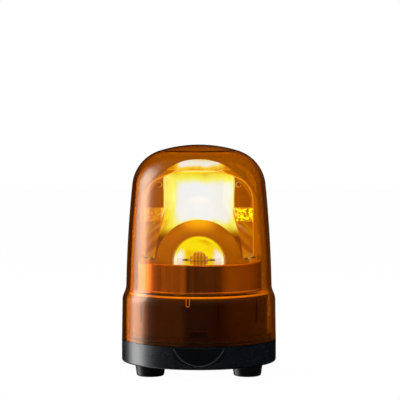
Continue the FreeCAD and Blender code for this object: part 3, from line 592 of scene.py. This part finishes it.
@dataclass(frozen=True)
class LitMirror(Finish):
    """Bright concave mirror with a painted reflection of the LED, given off as emission: a hot
    field with a warm rim.
    """

    middle: Pair                    # x and z of the hot field, metres
    half: Pair                      # its half-width and half-height
    soft: float                     # how far it fades
    core: Colour
    ring: Colour
    rim: Colour
    wing_half: float = 0.0160       # beyond this, the flared wings' painted light dims at their foot, a painted shade

    # shapes and tones of the painted reflection
    WOBBLE = Mottle(120.0, 2.0, 0.5)
    WOBBLE_BY = 0.006
    NOISE_MEAN = 0.5
    RING_FADE = (2.2, 0.2)          # shares of soft
    CORE_FADE = (0.7, -0.6)
    GOLD = Mottle(95.0, 3.0, 0.55, 0.42, 0.68)
    GOLD_SHARE = (0.92, 0.62, 0.5)
    WING_FADE = 0.002
    WING_FOOT = (0.0945, 0.0855)
    WING_TONE = (0.34, 0.11, 0.005)
    EAR_ACROSS = (0.0231, 0.0235)
    EAR_UP = (0.109, 0.111)
    EAR_TONE = (0.62, 0.27, 0.01)
    FLARE_AT = 0.0132               # two painted highlights at the foot, either side of the middle
    FLARE_FADE = (0.0050, 0.0005)
    FLARE_UP = (0.0805, 0.0735)
    CLOUDS = Mottle(80.0, 3.0, 0.5)
    CLOUD_ROUGH = (0.05, 0.12)

    def paint(self, c: Canvas) -> None:
        """Lays the nodes.

        Args:
            c: the material to paint.
        """
        c.shade(Base_Color=self.colour, Metallic=1.0,
                Roughness=c.mottle(self.CLOUDS, *self.CLOUD_ROUGH))
        c.glow(self._light(c))
        c.bump(c.noise(self.CLOUDS), strength=0.04, depth=0.0008)

    def _light(self, c: Canvas) -> Socket:
        """The lamp's painted reflection in the mirror.

        Args:
            c: the material to paint.

        Returns:
            The light's colour.
        """
        x, _, z = c.parts(c.place)
        across = c.gap(x)
        beyond = [c.math("SUBTRACT", c.gap(value, centre), half)
                  for value, centre, half in zip((x, z), self.middle, self.half)]
        wobble = c.math("SUBTRACT", c.noise(self.WOBBLE), self.NOISE_MEAN)
        away = c.plus(c.math("SMOOTH_MAX", *beyond, self.soft), wobble, self.WOBBLE_BY)
        gold = tuple(part * share for part, share in zip(self.rim, self.GOLD_SHARE))
        light = c.mix(c.mottle(self.GOLD), self.rim, gold)
        for fade, tone in ((self.RING_FADE, self.ring), (self.CORE_FADE, self.core)):
            light = c.mix(c.span(away, *toned(fade, self.soft)), light, tone)
        wing = c.times(c.span(across, self.wing_half, self.wing_half + self.WING_FADE),
                       c.span(z, *self.WING_FOOT))
        ear = c.times(c.span(across, *self.EAR_ACROSS), c.span(z, *self.EAR_UP))
        flare = c.times(c.span(c.gap(across, self.FLARE_AT), *self.FLARE_FADE),
                        c.span(z, *self.FLARE_UP))
        # painted shade on the wing feet, painted light on the ears, painted highlights at the
        # flares
        for mask, tone in ((wing, self.WING_TONE), (ear, self.EAR_TONE), (flare, self.core)):
            light = c.mix(mask, light, tone)
        return light


@dataclass(frozen=True)
class MachinedMetal(Finish):
    """Turned or plated metal with lathe rings and small handling marks."""

    roughness: float = 0.28
    pitch: float = 9000.0
    rings: float = 0.25

    SHADE = 0.72
    SMEAR_DULLS = 0.15

    def paint(self, c: Canvas) -> None:
        """Lays the nodes.

        Args:
            c: the material to paint.
        """
        rings = c.effect(c.effects.turning, Pitch=self.pitch)
        smear = c.effect(c.effects.handling, Amount=0.6)["Smear"]
        dark = toned(self.colour, self.SHADE)
        c.shade(Base_Color=c.mix(smear, c.mix(rings["Shade"], self.colour, dark), dark),
                Metallic=1.0, Roughness=c.plus(self.roughness, smear, self.SMEAR_DULLS))
        c.bump(rings["Height"], strength=self.rings, depth=0.00003)


@dataclass(frozen=True)
class CircuitBoard(Finish):
    """Solder-masked board with tracks, pads and copper-coloured vias."""

    track: Colour

    TRACKS = {"Scale": 160.0, "Mortar_Size": 0.035, "Mortar_Smooth": 0.0}
    VIAS = 260.0
    VIA_EDGE = (0.16, 0.12)
    VIA_TONE = (0.72, 0.62, 0.40)
    ROUGH = (0.3, 0.15)             # of the mask, and what a via adds

    def paint(self, c: Canvas) -> None:
        """Lays the nodes.

        Args:
            c: the material to paint.
        """
        brick = c.fill(c.node("TexBrick", c.place, offset=0.37, squash=1.6), **self.TRACKS)
        tracks = brick.outputs["Fac"]
        via = c.span(c.cells(self.VIAS)["Distance"], *self.VIA_EDGE)
        c.shade(Base_Color=c.mix(via, c.mix(tracks, self.colour, self.track), self.VIA_TONE),
                Roughness=c.plus(self.ROUGH[0], via, self.ROUGH[1]), Metallic=via)
        c.bump(c.math("ADD", tracks, via), strength=0.3, depth=0.00005)


@dataclass(frozen=True)
class LedSilicone(Finish):
    """Clear ridged silicone dome over the LED's yellow phosphor."""

    glow: Colour

    SWIRL = Mottle(400.0, 3.0, 0.6)
    SWIRL_SHADE = 0.7
    RIDGES = 2900.0                 # radians to the metre
    RIDGE_EDGE = (-0.5, 0.7)
    RIDGE_SHADE = 0.35
    HOT_SWIRL = (0.45, 0.8)
    HOT_GAIN = 1.5

    def paint(self, c: Canvas) -> None:
        """Lays the nodes.

        Args:
            c: the material to paint.
        """
        swirl = c.noise(self.SWIRL)
        wave = c.math("SINE", c.times(c.parts(c.place)[0], self.RIDGES))
        light = c.mix(c.span(wave, *self.RIDGE_EDGE), toned(self.glow, self.RIDGE_SHADE),
                      self.glow)
        light = c.mix(c.span(swirl, *self.HOT_SWIRL), light, toned(self.glow, self.HOT_GAIN))
        c.shade(Base_Color=c.mix(c.mottle(self.SWIRL), self.colour,
                                 toned(self.colour, self.SWIRL_SHADE)),
                Roughness=0.08, Coat_Weight=0.8)
        c.glow(light)
        c.bump(swirl, strength=0.1, depth=0.0003)


class Look(Enum):
    """Every finish of the beacon."""

    GLOBE = AmberGlobe("amber_globe", (0.60, 0.335, 0.035), 0.0025, (0.78, 0.42, 0.05),
                       (1.0, 0.90, 0.66))
    BASE = MouldedPlastic("black_base_plastic", (0.0020, 0.0036, 0.0062), 0.27, 0.10,
                          dust=0.010, shine=1.0)
    COVER = MouldedPlastic("black_cover_plastic", (0.0015, 0.0020, 0.0030), 0.50, 0.20,
                           dust=0.0, shine=0.2)
    CHASSIS = MouldedPlastic("black_chassis_plastic", (0.050, 0.026, 0.022), 0.16, 0.01,
                             dust=0.02, shine=1.0, shine_tint=(1.0, 0.55, 0.45))
    RUBBER = Rubber("foot_rubber", (0.0035, 0.004, 0.005), 0.36)
    METALLISED = Metallised("metallised_drum", (0.92, 0.56, 0.42), 0.05, 0.02, streaks=0.4)
    SHELL = LampLit("metallised_shell", (0.74, 0.73, 0.71), 0.12, 0.05,
                    glow=(0.68, 0.29, 0.01), front=(0.80, 0.38, 0.02),
                    under=(1.5, 1.7, 0.25), under_half=0.016)
    HOOD = LitHood("metallised_hood", (0.30, 0.26, 0.22), 0.22, 0.04,
                   glow=(0.58, 0.25, 0.01), crest=(1.5, 1.2, 0.02),
                   mouth=(1.4, 2.2, 0.05), mouth_hot=(1.7, 3.0, 18.0))
    CARRIER = FrostedBands("frosted_carrier", (0.36, 0.33, 0.30), 0.0977, 0.1060,
                           (2.645, 4.83, 0.092), (0.56, 0.23, 0.008))
    MIRROR = LitMirror("lit_mirror", (0.13, 0.13, 0.12), (0.0030, 0.110), (0.0178, 0.0128),
                       0.004, (1.55, 2.8, 26.0), (1.60, 2.8, 3.6), (1.55, 2.15, 0.04))
    BROW = LitMirror("lit_brow", (0.30, 0.30, 0.29), (0.0010, 0.1360), (0.0130, 0.0022),
                     0.0022, (1.6, 3.0, 33.0), (1.7, 2.2, 1.6), (1.15, 0.80, 0.01),
                     wing_half=1.0)
    # painted highlights: these small metal finishes glow, standing in for glints of the lamp
    HOT_EDGE = LampLit("hot_mirror_edge", (0.60, 0.50, 0.40), 0.12, 0.02, glow=(1.7, 2.5, 5.0))
    GLEAM = LampLit("polished_gleam", (0.80, 0.62, 0.50), 0.10, 0.02, glow=(1.2, 0.75, 0.03))
    LIP = LampLit("polished_lip", (0.80, 0.60, 0.48), 0.16, 0.02, glow=(0.80, 0.28, 0.01))
    BOSS_SCREW = LampLit("boss_screw", (0.55, 0.45, 0.38), 0.25, 0.02, glow=(0.30, 0.11, 0.01))
    # paler than the cover: a painted edge highlight on the outlet's raised line
    TRIM = MouldedPlastic("cover_trim_plastic", (0.030, 0.034, 0.042), 0.30, 0.05, dust=0.01,
                          shine=0.8)
    ALUMINIUM = MachinedMetal("turned_aluminium", (0.78, 0.78, 0.77))
    STEEL = MachinedMetal("zinc_steel", (0.62, 0.63, 0.64), 0.3, 6000.0, 0.1)
    MOTOR = MachinedMetal("motor_can", (0.50, 0.50, 0.49), 0.34, 5200.0, 0.15)
    BRASS = MachinedMetal("turned_brass", (0.72, 0.51, 0.22), 0.27)
    BRONZE = MachinedMetal("sintered_bronze", (0.55, 0.37, 0.20), 0.45, 3000.0, 0.1)
    ACETAL = MouldedPlastic("natural_acetal", (0.80, 0.79, 0.74), 0.35, 0.08, dust=0.05)
    WHITE_BOARD = CircuitBoard("white_led_board", (0.80, 0.80, 0.77), (0.72, 0.72, 0.70))
    GREEN_BOARD = CircuitBoard("green_main_board", (0.012, 0.115, 0.052), (0.02, 0.17, 0.08))
    CERAMIC = MouldedPlastic("led_ceramic", (0.72, 0.68, 0.55), 0.3, 0.05, dust=0.0)
    LED = LedSilicone("led_silicone", (0.45, 0.30, 0.06), (0.95, 0.62, 0.03))
    TERMINAL = MouldedPlastic("terminal_plastic", (0.03, 0.22, 0.12), 0.4, 0.08)
    CAPACITOR = MouldedPlastic("capacitor_sleeve", (0.02, 0.025, 0.06), 0.25, 0.03)
    FERRITE = MouldedPlastic("ferrite", (0.035, 0.035, 0.038), 0.6, 0.2)
    CHIP = MouldedPlastic("chip_epoxy", (0.018, 0.018, 0.019), 0.5, 0.15)


LOOK_NODES: dict[Look, str] = {
    Look.GLOBE: "globe",
    Look.BASE: "base_housing",
    Look.COVER: "outlet_cover",
    Look.CHASSIS: "chassis",
    Look.RUBBER: "rubber_feet cable_grommet globe_seal",
    Look.BRASS: "mounting_inserts",
    Look.STEEL: "chassis_screws pillar_screws hood_screws reflector_screws motor_screws "
                "board_screws motor_shaft retaining_ring",
    Look.BOSS_SCREW: "carrier_screws",
    Look.MOTOR: "motor",
    Look.ALUMINIUM: "led_pillar",
    Look.WHITE_BOARD: "led_board",
    Look.CERAMIC: "led_package",
    Look.LED: "led_lens",
    Look.ACETAL: "thrust_washer drive_ring_gear drive_pinion",
    Look.BRONZE: "rotor_bush",
    Look.METALLISED: "drum",
    Look.HOOD: "light_hood",
    Look.SHELL: "reflector_shell",
    Look.CARRIER: "mirror_carrier",
    Look.MIRROR: "main_mirror",
    Look.GREEN_BOARD: "main_board",
    Look.TERMINAL: "terminal_block",
    Look.CAPACITOR: "capacitors",
    Look.FERRITE: "power_inductor",
    Look.CHIP: "driver_chips",
}


class Paintbox:
    """Builds each finish once and puts it on CAD nodes and new pieces."""

    def __init__(self) -> None:
        """Starts with no finish made."""
        self.effects = Effects()
        self.made: dict[Look, Material] = {}

    def dress(self, piece: Piece, look: Look) -> None:
        """Gives a piece one finish in all its slots.

        Args:
            piece: the object to dress.
            look: its finish.
        """
        if look not in self.made:
            self.made[look] = look.value.build(self.effects)
        if not piece.material_slots:
            piece.data.materials.append(self.made[look])
        for slot in piece.material_slots:
            slot.material = self.made[look]

    def dress_nodes(self) -> None:
        """Dresses every CAD node with its finish."""
        for look, names in LOOK_NODES.items():
            for name in names.split():
                self.dress(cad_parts[name], look)
                log.info("dressed %s with %s", name, look.value.name)

    def finish(self, piece: Piece, look: Look, body: str, bevel: float = 0.0) -> None:
        """Closes and dresses a new piece, sets it on its body and reports it.

        Args:
            piece: the new piece.
            look: its finish.
            body: the body that it rides on.
            bevel: width of the bevel on its edges, or 0 for none.
        """
        Bench.close(piece, bevel)
        self.dress(piece, look)
        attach(piece, body)
        log.info("made %s, %d faces, on %s", piece.name, len(piece.data.polygons), body)


# ---- modelling ----
class Bench:
    """Edit-mode steps that the new pieces share."""

    MERGE = 1e-6
    SHARP = math.radians(35)
    BEVEL_STEPS = 2
    FACING = 0.9        # part of a face's normal that counts as facing that way
    UPRIGHT = 0.1       # most that an upright face's normal rises

    @staticmethod
    def begin() -> None:
        """Leaves edit mode and deselects everything."""
        if bpy.context.object is not None and bpy.context.object.mode != "OBJECT":
            bpy.ops.object.mode_set(mode="OBJECT")
        bpy.ops.object.select_all(action="DESELECT")

    @staticmethod
    def settle(name: str) -> Piece:
        """Names the piece just added, puts its place into its mesh and opens it for editing.

        Args:
            name: the piece's name.

        Returns:
            The piece.
        """
        piece = bpy.context.object
        piece.name = piece.data.name = name
        bpy.ops.object.transform_apply(location=True, rotation=True, scale=True)
        bpy.ops.object.mode_set(mode="EDIT")
        return piece

    @staticmethod
    def pick(piece: Piece, test: Callable[[Vector, Vector], bool]) -> None:
        """Selects the faces that pass a test.

        Args:
            piece: the object in edit mode.
            test: takes a face's centre and normal.
        """
        bpy.ops.mesh.select_mode(type="FACE")
        bpy.ops.mesh.select_all(action="DESELECT")
        bpy.ops.object.mode_set(mode="OBJECT")
        for face in piece.data.polygons:
            face.select = test(face.center, face.normal)
        bpy.ops.object.mode_set(mode="EDIT")

    @staticmethod
    def cut_off_below(level: float) -> None:
        """Cuts the whole piece level and keeps what is above."""
        bpy.ops.mesh.select_all(action="SELECT")
        bpy.ops.mesh.bisect(plane_co=(0.0, 0.0, level), plane_no=(0.0, 0.0, 1.0), use_fill=True,
                            clear_inner=True)

    @staticmethod
    def draw(across: float = 0.0, up: float = 0.0) -> None:
        """Extrudes what is selected by a distance across and up."""
        bpy.ops.mesh.extrude_region_move(TRANSFORM_OT_translate={"value": (across, 0.0, up)})

    @staticmethod
    def bend(steps: int, angle: float, centre: Place, under: bool = False) -> None:
        """Leads what is selected over or under a centre, in the plane that faces the front."""
        bpy.ops.mesh.spin(steps=steps, angle=angle, center=centre,
                          axis=(0.0, -1.0 if under else 1.0, 0.0))

    @staticmethod
    def wire(name: str, radius: float, sides: int, start: Place) -> Piece:
        """Starts a wire as a filled ring, selected and ready to be drawn out.

        Args:
            name: the piece's name.
            radius: of the wire, in metres.
            sides: faces round the wire.
            start: where it starts.

        Returns:
            The piece.
        """
        Bench.begin()
        bpy.ops.mesh.primitive_circle_add(vertices=sides, radius=radius, fill_type="NGON",
                                          location=start)
        piece = Bench.settle(name)
        bpy.ops.mesh.select_all(action="SELECT")
        return piece

    @staticmethod
    def close(piece: Piece, bevel: float) -> None:
        """Merges doubles, sets the normals outwards, bevels if asked and smooths by angle.

        Args:
            piece: the piece, active.
            bevel: width of the bevel, or 0 for none.
        """
        bpy.ops.object.mode_set(mode="EDIT")
        bpy.ops.mesh.select_all(action="SELECT")
        bpy.ops.mesh.remove_doubles(threshold=Bench.MERGE)
        bpy.ops.mesh.normals_make_consistent(inside=False)
        bpy.ops.object.mode_set(mode="OBJECT")
        if bevel > 0.0:
            step = piece.modifiers.new("edge", "BEVEL")
            step.width, step.segments = bevel, Bench.BEVEL_STEPS
            step.limit_method, step.angle_limit = "ANGLE", Bench.SHARP
            bpy.ops.object.modifier_apply(modifier="edge")
        bpy.ops.object.shade_smooth_by_angle(angle=Bench.SHARP)


@dataclass
class NicheTrim:
    """Visor over the reflector's niche, glowing with a painted reflection, and the thin bead
    round its arch, glowing as a painted highlight.
    """

    paints: Paintbox
    front: float = -0.0016
    arch_half: float = SHELL_HALF - 0.0027
    arch_top: float = SHELL_TOP - 0.0043
    arch_low: float = DRUM_TOP + 0.0006
    crown: float = 0.055
    crown_steps: int = 40
    corner: float = 0.016
    corner_steps: int = 14
    wire: float = 0.00030
    wire_sides: int = 10
    visor_radius: float = 0.0330
    visor_sides: int = 160
    visor_top: float = SHELL_TOP + 0.0025
    visor_low: float = SHELL_TOP - 0.0049
    visor_thick: float = 0.0014
    visor_rim: float = 0.00045
    visor_sunk: float = 0.0004
    visor_bevel: float = 0.00015

    def build(self) -> None:
        """Makes both pieces."""
        self._visor()
        self._bead()

    def _visor(self) -> None:
        """Crescent plate: a disc cut level, its face sunk inside a raised edge."""
        Bench.begin()
        bpy.ops.mesh.primitive_cylinder_add(
            vertices=self.visor_sides, radius=self.visor_radius, depth=self.visor_thick,
            location=(0.0, self.front - self.visor_thick / 2, self.visor_top - self.visor_radius),
            rotation=(math.pi / 2, 0.0, 0.0))
        piece = Bench.settle("niche_visor")
        Bench.cut_off_below(self.visor_low)
        Bench.pick(piece, lambda at, out: out.y < -Bench.FACING)
        bpy.ops.mesh.inset(thickness=self.visor_rim, depth=-self.visor_sunk)
        # painted reflection: the visor glows with the lamp's image
        self.paints.finish(piece, Look.BROW, "rotor", self.visor_bevel)

    def _bead(self) -> None:
        """Round wire led up one side, over the arch and down the other."""
        depth = self.front - self.wire
        crown_z = self.arch_top - self.crown
        corner_x = self.arch_half - self.corner
        corner_z = crown_z + math.sqrt((self.crown - self.corner) ** 2 - corner_x ** 2)
        swing = math.atan2(corner_z - crown_z, corner_x)
        piece = Bench.wire("niche_bead", self.wire, self.wire_sides,
                           (self.arch_half, depth, self.arch_low))
        Bench.draw(up=corner_z - self.arch_low)
        Bench.bend(self.corner_steps, swing, (corner_x, depth, corner_z))
        Bench.bend(self.crown_steps, math.pi - 2 * swing, (0.0, depth, crown_z))
        Bench.bend(self.corner_steps, swing, (-corner_x, depth, corner_z))
        Bench.draw(up=self.arch_low - corner_z)
        # painted highlight: the bead glows along the arch's edge
        self.paints.finish(piece, Look.GLEAM, "rotor")


@dataclass
class MirrorEdges:
    """Glowing wires down both upright edges of the mirror, a painted highlight, kicked outwards
    at the foot.
    """

    paints: Paintbox
    half: float = 0.0223
    front: float = -0.00045
    length: float = 0.0232
    kick: float = 0.0016
    kick_drop: float = 0.0060
    wire: float = 0.00034
    wire_sides: int = 8

    def build(self) -> None:
        """Makes one wire on each side."""
        for name, side in (("mirror_edge_left", -1.0), ("mirror_edge_right", 1.0)):
            piece = Bench.wire(name, self.wire, self.wire_sides,
                               (side * self.half, self.front, MIRROR_TOP))
            Bench.draw(up=-self.length)
            Bench.draw(across=side * self.kick, up=-self.kick_drop)
            self.paints.finish(piece, Look.HOT_EDGE, "rotor")


@dataclass
class LedCollar:
    """Twelve-sided collar round the LED's dome, with a sunk window in every side."""

    paints: Paintbox
    radius: float = 0.0056
    bore: float = 0.0048
    height: float = 0.0026
    depth: float = 0.00234
    sides: int = 12
    window_rim: float = 0.0004
    window_sunk: float = 0.00025
    bevel: float = 0.00008

    def build(self) -> None:
        """Makes the collar: a prism, its top opened down to the board, its sides sunk."""
        Bench.begin()
        bpy.ops.mesh.primitive_cylinder_add(
            vertices=self.sides, radius=self.radius, depth=self.height,
            location=(0.0, 0.0, LED_BOARD_TOP + self.height / 2))
        piece = Bench.settle("led_collar")
        Bench.pick(piece, lambda at, out: out.z > Bench.FACING)
        bpy.ops.mesh.inset(thickness=self.radius - self.bore)
        Bench.draw(up=-self.depth)
        Bench.pick(piece, lambda at, out: abs(out.z) < Bench.UPRIGHT
                   and at.x * out.x + at.y * out.y > 0.0)
        bpy.ops.mesh.inset(thickness=self.window_rim, depth=-self.window_sunk,
                           use_individual=True)
        self.paints.finish(piece, Look.LED, "base", self.bevel)


@dataclass
class ChassisTrim:
    """Half-round lip round the chassis deck and the small wire clip at its front, both glowing as
    a painted highlight.
    """

    paints: Paintbox
    radius: float = 0.04455
    level: float = DECK_TOP - 0.0001
    lip: float = 0.0007
    lip_steps: int = 180
    lip_sides: int = 14
    lip_cut: float = 0.00035
    lip_crest: float = 0.85         # faces whose normals rise more than this are drawn up
    lip_rise: float = 0.00021
    clip_x: float = -0.0068
    clip_half: float = 0.0010
    clip_low: float = DECK_TOP - 0.0052
    clip_high: float = DECK_TOP + 0.0004
    clip_out: float = 0.0006
    clip_wire: float = 0.00024
    clip_sides: int = 8
    clip_steps: int = 14

    def build(self) -> None:
        """Makes both pieces."""
        self._lip()
        self._clip()

    def _lip(self) -> None:
        """Ring whose lower half is cut off and whose crest is drawn up a little."""
        Bench.begin()
        bpy.ops.mesh.primitive_torus_add(major_radius=self.radius, minor_radius=self.lip,
                                         major_segments=self.lip_steps,
                                         minor_segments=self.lip_sides,
                                         location=(0.0, 0.0, self.level))
        piece = Bench.settle("chassis_lip")
        Bench.cut_off_below(self.level - self.lip_cut)
        Bench.pick(piece, lambda at, out: out.z > self.lip_crest)
        bpy.ops.transform.translate(value=(0.0, 0.0, self.lip_rise))
        self.paints.finish(piece, Look.LIP, "base")

    def _clip(self) -> None:
        """U-shaped spring wire: down one side, round below and up the other."""
        depth = -math.sqrt((self.radius + self.clip_out) ** 2 - self.clip_x ** 2)
        bend_z = self.clip_low + self.clip_half
        piece = Bench.wire("latch_clip", self.clip_wire, self.clip_sides,
                           (self.clip_x - self.clip_half, depth, self.clip_high))
        Bench.draw(up=bend_z - self.clip_high)
        Bench.bend(self.clip_steps, math.pi, (self.clip_x, depth, bend_z))
        Bench.draw(up=self.clip_high - bend_z)
        self.paints.finish(piece, Look.LIP, "base")


@dataclass
class OutletTrim:
    """Thin raised line round the D-shaped cover of the cable outlet, its paler plastic a painted
    edge highlight.
    """

    paints: Paintbox
    wall: float = -BASE_FRONT
    half: float = COVER_HALF - 0.0004
    top: float = COVER_TOP - 0.0001
    drop: float = 0.0106
    wire: float = 0.00030
    wire_sides: int = 8
    flat: float = 0.35
    steps: int = 40

    def build(self) -> None:
        """Sweeps the wire along the cover's edge and wraps it on the round wall."""
        bow = (self.half ** 2 + self.drop ** 2) / (2 * self.drop)
        swing = 2 * math.atan2(self.half, bow - self.drop)
        sunk = -self.wall + self.wire * self.flat
        piece = Bench.wire("outlet_trim", self.wire, self.wire_sides, (self.half, sunk, self.top))
        bpy.ops.transform.resize(value=(1.0, self.flat, 1.0), center_override=(0.0, sunk, 0.0))
        Bench.bend(self.steps, swing, (0.0, sunk, self.top - self.drop + bow), under=True)
        bpy.ops.object.mode_set(mode="OBJECT")
        for vertex in piece.data.vertices:
            vertex.co.y += self.wall - math.sqrt(self.wall ** 2 - vertex.co.x ** 2)
        self.paints.finish(piece, Look.TRIM, "base")


# ---- studio ----
@dataclass
class SoftBox:
    """One rectangular studio lamp."""

    name: str
    place: Place
    size: Pair
    power: float
    aim: Place = (0.0, 0.0, 0.075)

    def build(self) -> None:
        """Makes the lamp and turns it to its aim."""
        data = bpy.data.lights.new(self.name, "AREA")
        data.shape = "RECTANGLE"
        data.size, data.size_y = self.size
        data.energy = self.power
        lamp = bpy.data.objects.new(self.name, data)
        bpy.context.scene.collection.objects.link(lamp)
        lamp.location = self.place
        lamp.visible_glossy = False
        lamp.visible_transmission = False
        heading = Vector(self.aim) - Vector(self.place)
        lamp.rotation_euler = heading.to_track_quat("-Z", "Y").to_euler()


@dataclass(frozen=True)
class Tent:
    """Brightness of the light tent: around times up, plus above, by angles in degrees."""

    around: tuple[Pair, ...]
    up: tuple[Pair, ...]
    above: tuple[Pair, ...]

    def light(self, g: Graph, turn: Socket, rise: Socket) -> Socket:
        """Brightness at a turn from the front, positive to the right, and a rise."""
        return g.plus(g.profile(rise, self.above), g.profile(turn, self.around),
                      g.profile(rise, self.up))


TENT_OUTSIDE = Tent(
    around=((-180, 0.0), (-134, 0.0), (-127, 0.6), (-120, 3.6), (-112, 6.4), (-104, 7.4),
            (-96, 6.6), (-88, 2.0), (-80, 0.5), (-66, 0.12), (-32, 0.09), (20, 0.08),
            (30, 0.01), (180, 0.01)),
    up=((-90, 0.1), (-30, 0.3), (-6, 0.62), (2, 0.9), (10, 1.1), (20, 1.1), (29, 0.85),
        (38, 0.28), (50, 0.03), (90, 0.0)),
    above=((-90, 0.0), (90, 0.0)))
TENT_INSIDE = Tent(
    around=((-180, 1.0), (-163, 0.85), (-155, 0.3), (-145, 0.4), (-138, 9.0), (-104, 9.0),
            (-93, 2.3), (-86, 1.0), (-27, 1.0), (-21, 0.27), (30, 0.27), (42, 0.45), (56, 0.85),
            (100, 0.8), (125, 0.7), (140, 0.4), (153, 0.45), (163, 0.9), (180, 1.05)),
    up=((-90, 0.6), (-10, 0.95), (8, 1.0), (18, 0.6), (30, 0.2), (90, 0.1)),
    above=((-90, 0.0), (4, 0.0), (10, 0.25), (20, 1.2), (34, 2.3), (50, 3.0), (70, 2.4),
           (90, 1.6)))


@dataclass
class Studio:
    """Pale floor, pale surroundings, soft lamps and the camera."""

    distance: float = 1.1
    camera_height: float = 0.1617
    tilt_down: float = math.radians(2.61)
    sideways: float = 0.0007
    lens: float = 153.0
    sensor: float = 36.0
    sight: Pair = (0.05, 50.0)
    shade_tone: Colour = (0.20, 0.20, 0.21)     # the world as diffuse light sees it
    floor_half: float = 3.0
    floor_tone: Colour = (0.86, 0.86, 0.86)
    floor_white: float = 0.985                  # how far the floor is lifted to plain white
    fibre: Mottle = Mottle(900.0, 3.0, 0.6, 0.2, 0.8)
    fibre_rough: Pair = (0.85, 0.95)
    lamps: tuple[SoftBox, ...] = (
        SoftBox("left_box", (-0.75, 0.10, 0.55), (0.5, 0.8), 6.0),
        SoftBox("right_box", (0.85, -0.25, 0.75), (0.5, 0.8), 4.0),
        SoftBox("top_box", (0.0, -0.10, 1.2), (1.2, 0.9), 14.0))

    def build(self) -> None:
        """Makes everything in the studio."""
        self._camera()
        self._world()
        self._floor()
        for lamp in self.lamps:
            lamp.build()
        bpy.context.scene.view_settings.view_transform = "Standard"

    def _camera(self) -> None:
        """Makes the camera."""
        data = bpy.data.cameras.new("camera")
        data.lens, data.sensor_width = self.lens, self.sensor
        data.clip_start, data.clip_end = self.sight
        camera = bpy.data.objects.new("camera", data)
        bpy.context.scene.collection.objects.link(camera)
        camera.location = (self.sideways, -self.distance, self.camera_height)
        camera.rotation_euler = (math.pi / 2 - self.tilt_down, 0.0, 0.0)
        bpy.context.scene.camera = camera

    def _world(self) -> None:
        """Light tent: white paper behind, a tall lit panel on the left, dark flags elsewhere."""
        world = bpy.data.worlds.new("studio_world")
        bpy.context.scene.world = world
        world.use_nodes = True
        world.node_tree.nodes.clear()
        g = Graph(world.node_tree)
        x, y, z = g.parts(g.node("TexCoord").outputs["Generated"])
        turn = g.math("DEGREES", g.math("ARCTAN2", x, g.times(y, -1.0)))
        rise = g.math("DEGREES", g.math("ARCSINE", z))
        ray = g.node("LightPath").outputs
        tone = g.mix(ray["Is Glossy Ray"], self.shade_tone, TENT_OUTSIDE.light(g, turn, rise))
        tone = g.mix(ray["Is Transmission Ray"], tone, TENT_INSIDE.light(g, turn, rise))
        back = g.node("Background", g.mix(ray["Is Camera Ray"], tone, (1.0, 1.0, 1.0)))
        g.node("OutputWorld", back.outputs[0])

    def _floor(self) -> None:
        """Pale floor that keeps the beacon's soft shadow."""
        Bench.begin()
        bpy.ops.mesh.primitive_plane_add(size=2 * self.floor_half)
        floor = bpy.context.object
        floor.name = "floor"
        c = Canvas("floor_paper")
        c.shade(Base_Color=self.floor_tone,
                Roughness=c.mottle(self.fibre, *self.fibre_rough))
        glow = c.node("Emission", (1.0, 1.0, 1.0)).outputs[0]
        seen = c.node("LightPath").outputs["Is Camera Ray"]
        c.overlay(c.times(seen, self.floor_white), glow)
        floor.visible_glossy = False
        floor.visible_transmission = False
        floor.data.materials.append(c.material)


def main() -> None:
    """Builds the studio, dresses the beacon and adds its trims."""
    logging.basicConfig(level=logging.INFO, format="%(name)s: %(message)s")
    Studio().build()
    paints = Paintbox()
    paints.dress_nodes()
    for assembly in (NicheTrim, MirrorEdges, LedCollar, ChassisTrim, OutletTrim):
        assembly(paints).build()


if __name__ == "__main__":
    main()
